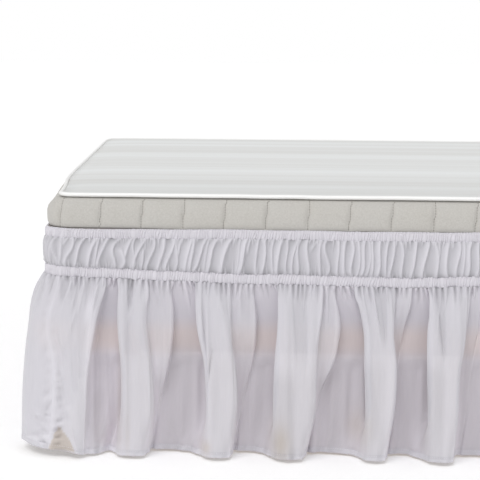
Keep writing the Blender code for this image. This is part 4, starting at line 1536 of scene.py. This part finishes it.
def pipingCord():
    sides, steps = mattress["pipingSides"], round(outlineLength / mattress["pipingStep"])
    radius = mattress["pipingRadius"]
    walked = outlineLength * np.arange(steps) / steps
    picker = random.Random(8)
    waves = [(round(outlineLength / picker.uniform(0.06, 0.5)), picker.uniform(0, 6.3))
             for _ in range(6)]
    sway = sum(np.sin(2 * math.pi * n * walked / outlineLength + p) for n, p in waves) / len(waves)
    points, uv = [], []
    for k in range(sides + 1):
        swing = 2 * math.pi * k / sides
        reach = radius * (math.cos(swing) - 1) - mattress["pipingInset"]
        reach = reach + mattress["pipingSway"] * sway - sideInset(walked) - footInset(walked)
        x, y = onOutline(np.append(walked, walked[0]), np.append(reach, reach[0]))
        z = mattressTop - radius * (1 - math.sin(swing))
        z = z + mattress["pipingLift"] * np.append(sway, sway[0])
        points.append(np.stack([x, y, z], axis=-1))
        around = np.full(steps + 1, swing * radius)
        uv.append(np.stack([np.append(walked, outlineLength), around], axis=-1))
    return newMesh("mattressPiping", np.concatenate(points).tolist(),
                   gridFaces(sides + 1, steps + 1), pipingTape,
                   np.concatenate(uv))


body, quiltRuns = mattressBody()
piping = pipingCord()
quiltStitches = stitchRun("quiltStitches", quiltRuns, quiltStitch)


# finishes of the base, the rail and the legs
print("base, rail and legs")


def woodFinish(name, stretch):
    # beech, planed and oiled: pale brown with fine darker grain, a low satin gloss
    finish, tree, shader = newFinish(name, Roughness=0.5)
    spot = addNode(tree, "ShaderNodeTexCoord").outputs["Object"]
    long = addNode(tree, "ShaderNodeMapping", {"Vector": spot, "Scale": stretch})
    grain = addNode(tree, "ShaderNodeTexNoise", {
        "Vector": long.outputs[0], "Scale": 1.0, "Detail": 4.0, "Distortion": 0.6}).outputs["Fac"]
    ramp = addNode(tree, "ShaderNodeValToRGB", {"Fac": grain})
    for stop, (place, code) in zip(ramp.color_ramp.elements,
                                   ((0.35, "#A87F58"), (0.65, "#CBA57B"))):
        stop.position, stop.color = place, hexLinear(code)
    relief = addNode(tree, "ShaderNodeBump", {"Height": grain, "Distance": 0.0003, "Strength": 0.4})
    tree.links.new(ramp.outputs[0], shader.inputs["Base Color"])
    tree.links.new(relief.outputs["Normal"], shader.inputs["Normal"])
    return finish


def coverFinish():
    # woven upholstery cover on the base: dark warm grey, thread pitch drawn at 2 mm so that it
    # shows
    finish, tree, shader = newFinish("wovenBaseCover", Roughness=0.9)
    spot = addNode(tree, "ShaderNodeTexCoord").outputs["Object"]
    grain = addNode(tree, "ShaderNodeTexNoise", {
        "Vector": spot, "Scale": 500.0, "Detail": 1.0}).outputs["Fac"]
    yarn = addNode(tree, "ShaderNodeMix", {
        "Factor": grain, 6: hexLinear("#8A8382"), 7: hexLinear("#A19A98")}, data_type="RGBA")
    relief = addNode(tree, "ShaderNodeBump", {"Height": grain, "Distance": 0.0004, "Strength": 0.5})
    tree.links.new(yarn.outputs[2], shader.inputs["Base Color"])
    tree.links.new(relief.outputs["Normal"], shader.inputs["Normal"])
    return finish


railWood = woodFinish("oiledBeechRail", (6.0, 6.0, 160.0))
legWood = woodFinish("oiledBeechLeg", (160.0, 160.0, 6.0))
baseCover = coverFinish()
plainNodes = {"base_box": baseCover, "wood_rail": railWood}
for nodeName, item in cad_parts.items():
    finish = legWood if nodeName.startswith("leg_") else plainNodes.get(nodeName)
    if finish is not None:
        for used in item.material_slots:
            used.material = finish


# what each piece rides on, stands for and is
print("joining to the frame")
for piece, node, flat in panels:
    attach(piece, "root")
    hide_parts(node)
for made in hemStitches:
    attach(made, "root")
for piece, node in bands:
    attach(piece, "root")
    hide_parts(node)
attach(body, "root")
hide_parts("mattress")
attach(quiltStitches, "root")
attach(piping, "root")
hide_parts("mattress_piping")
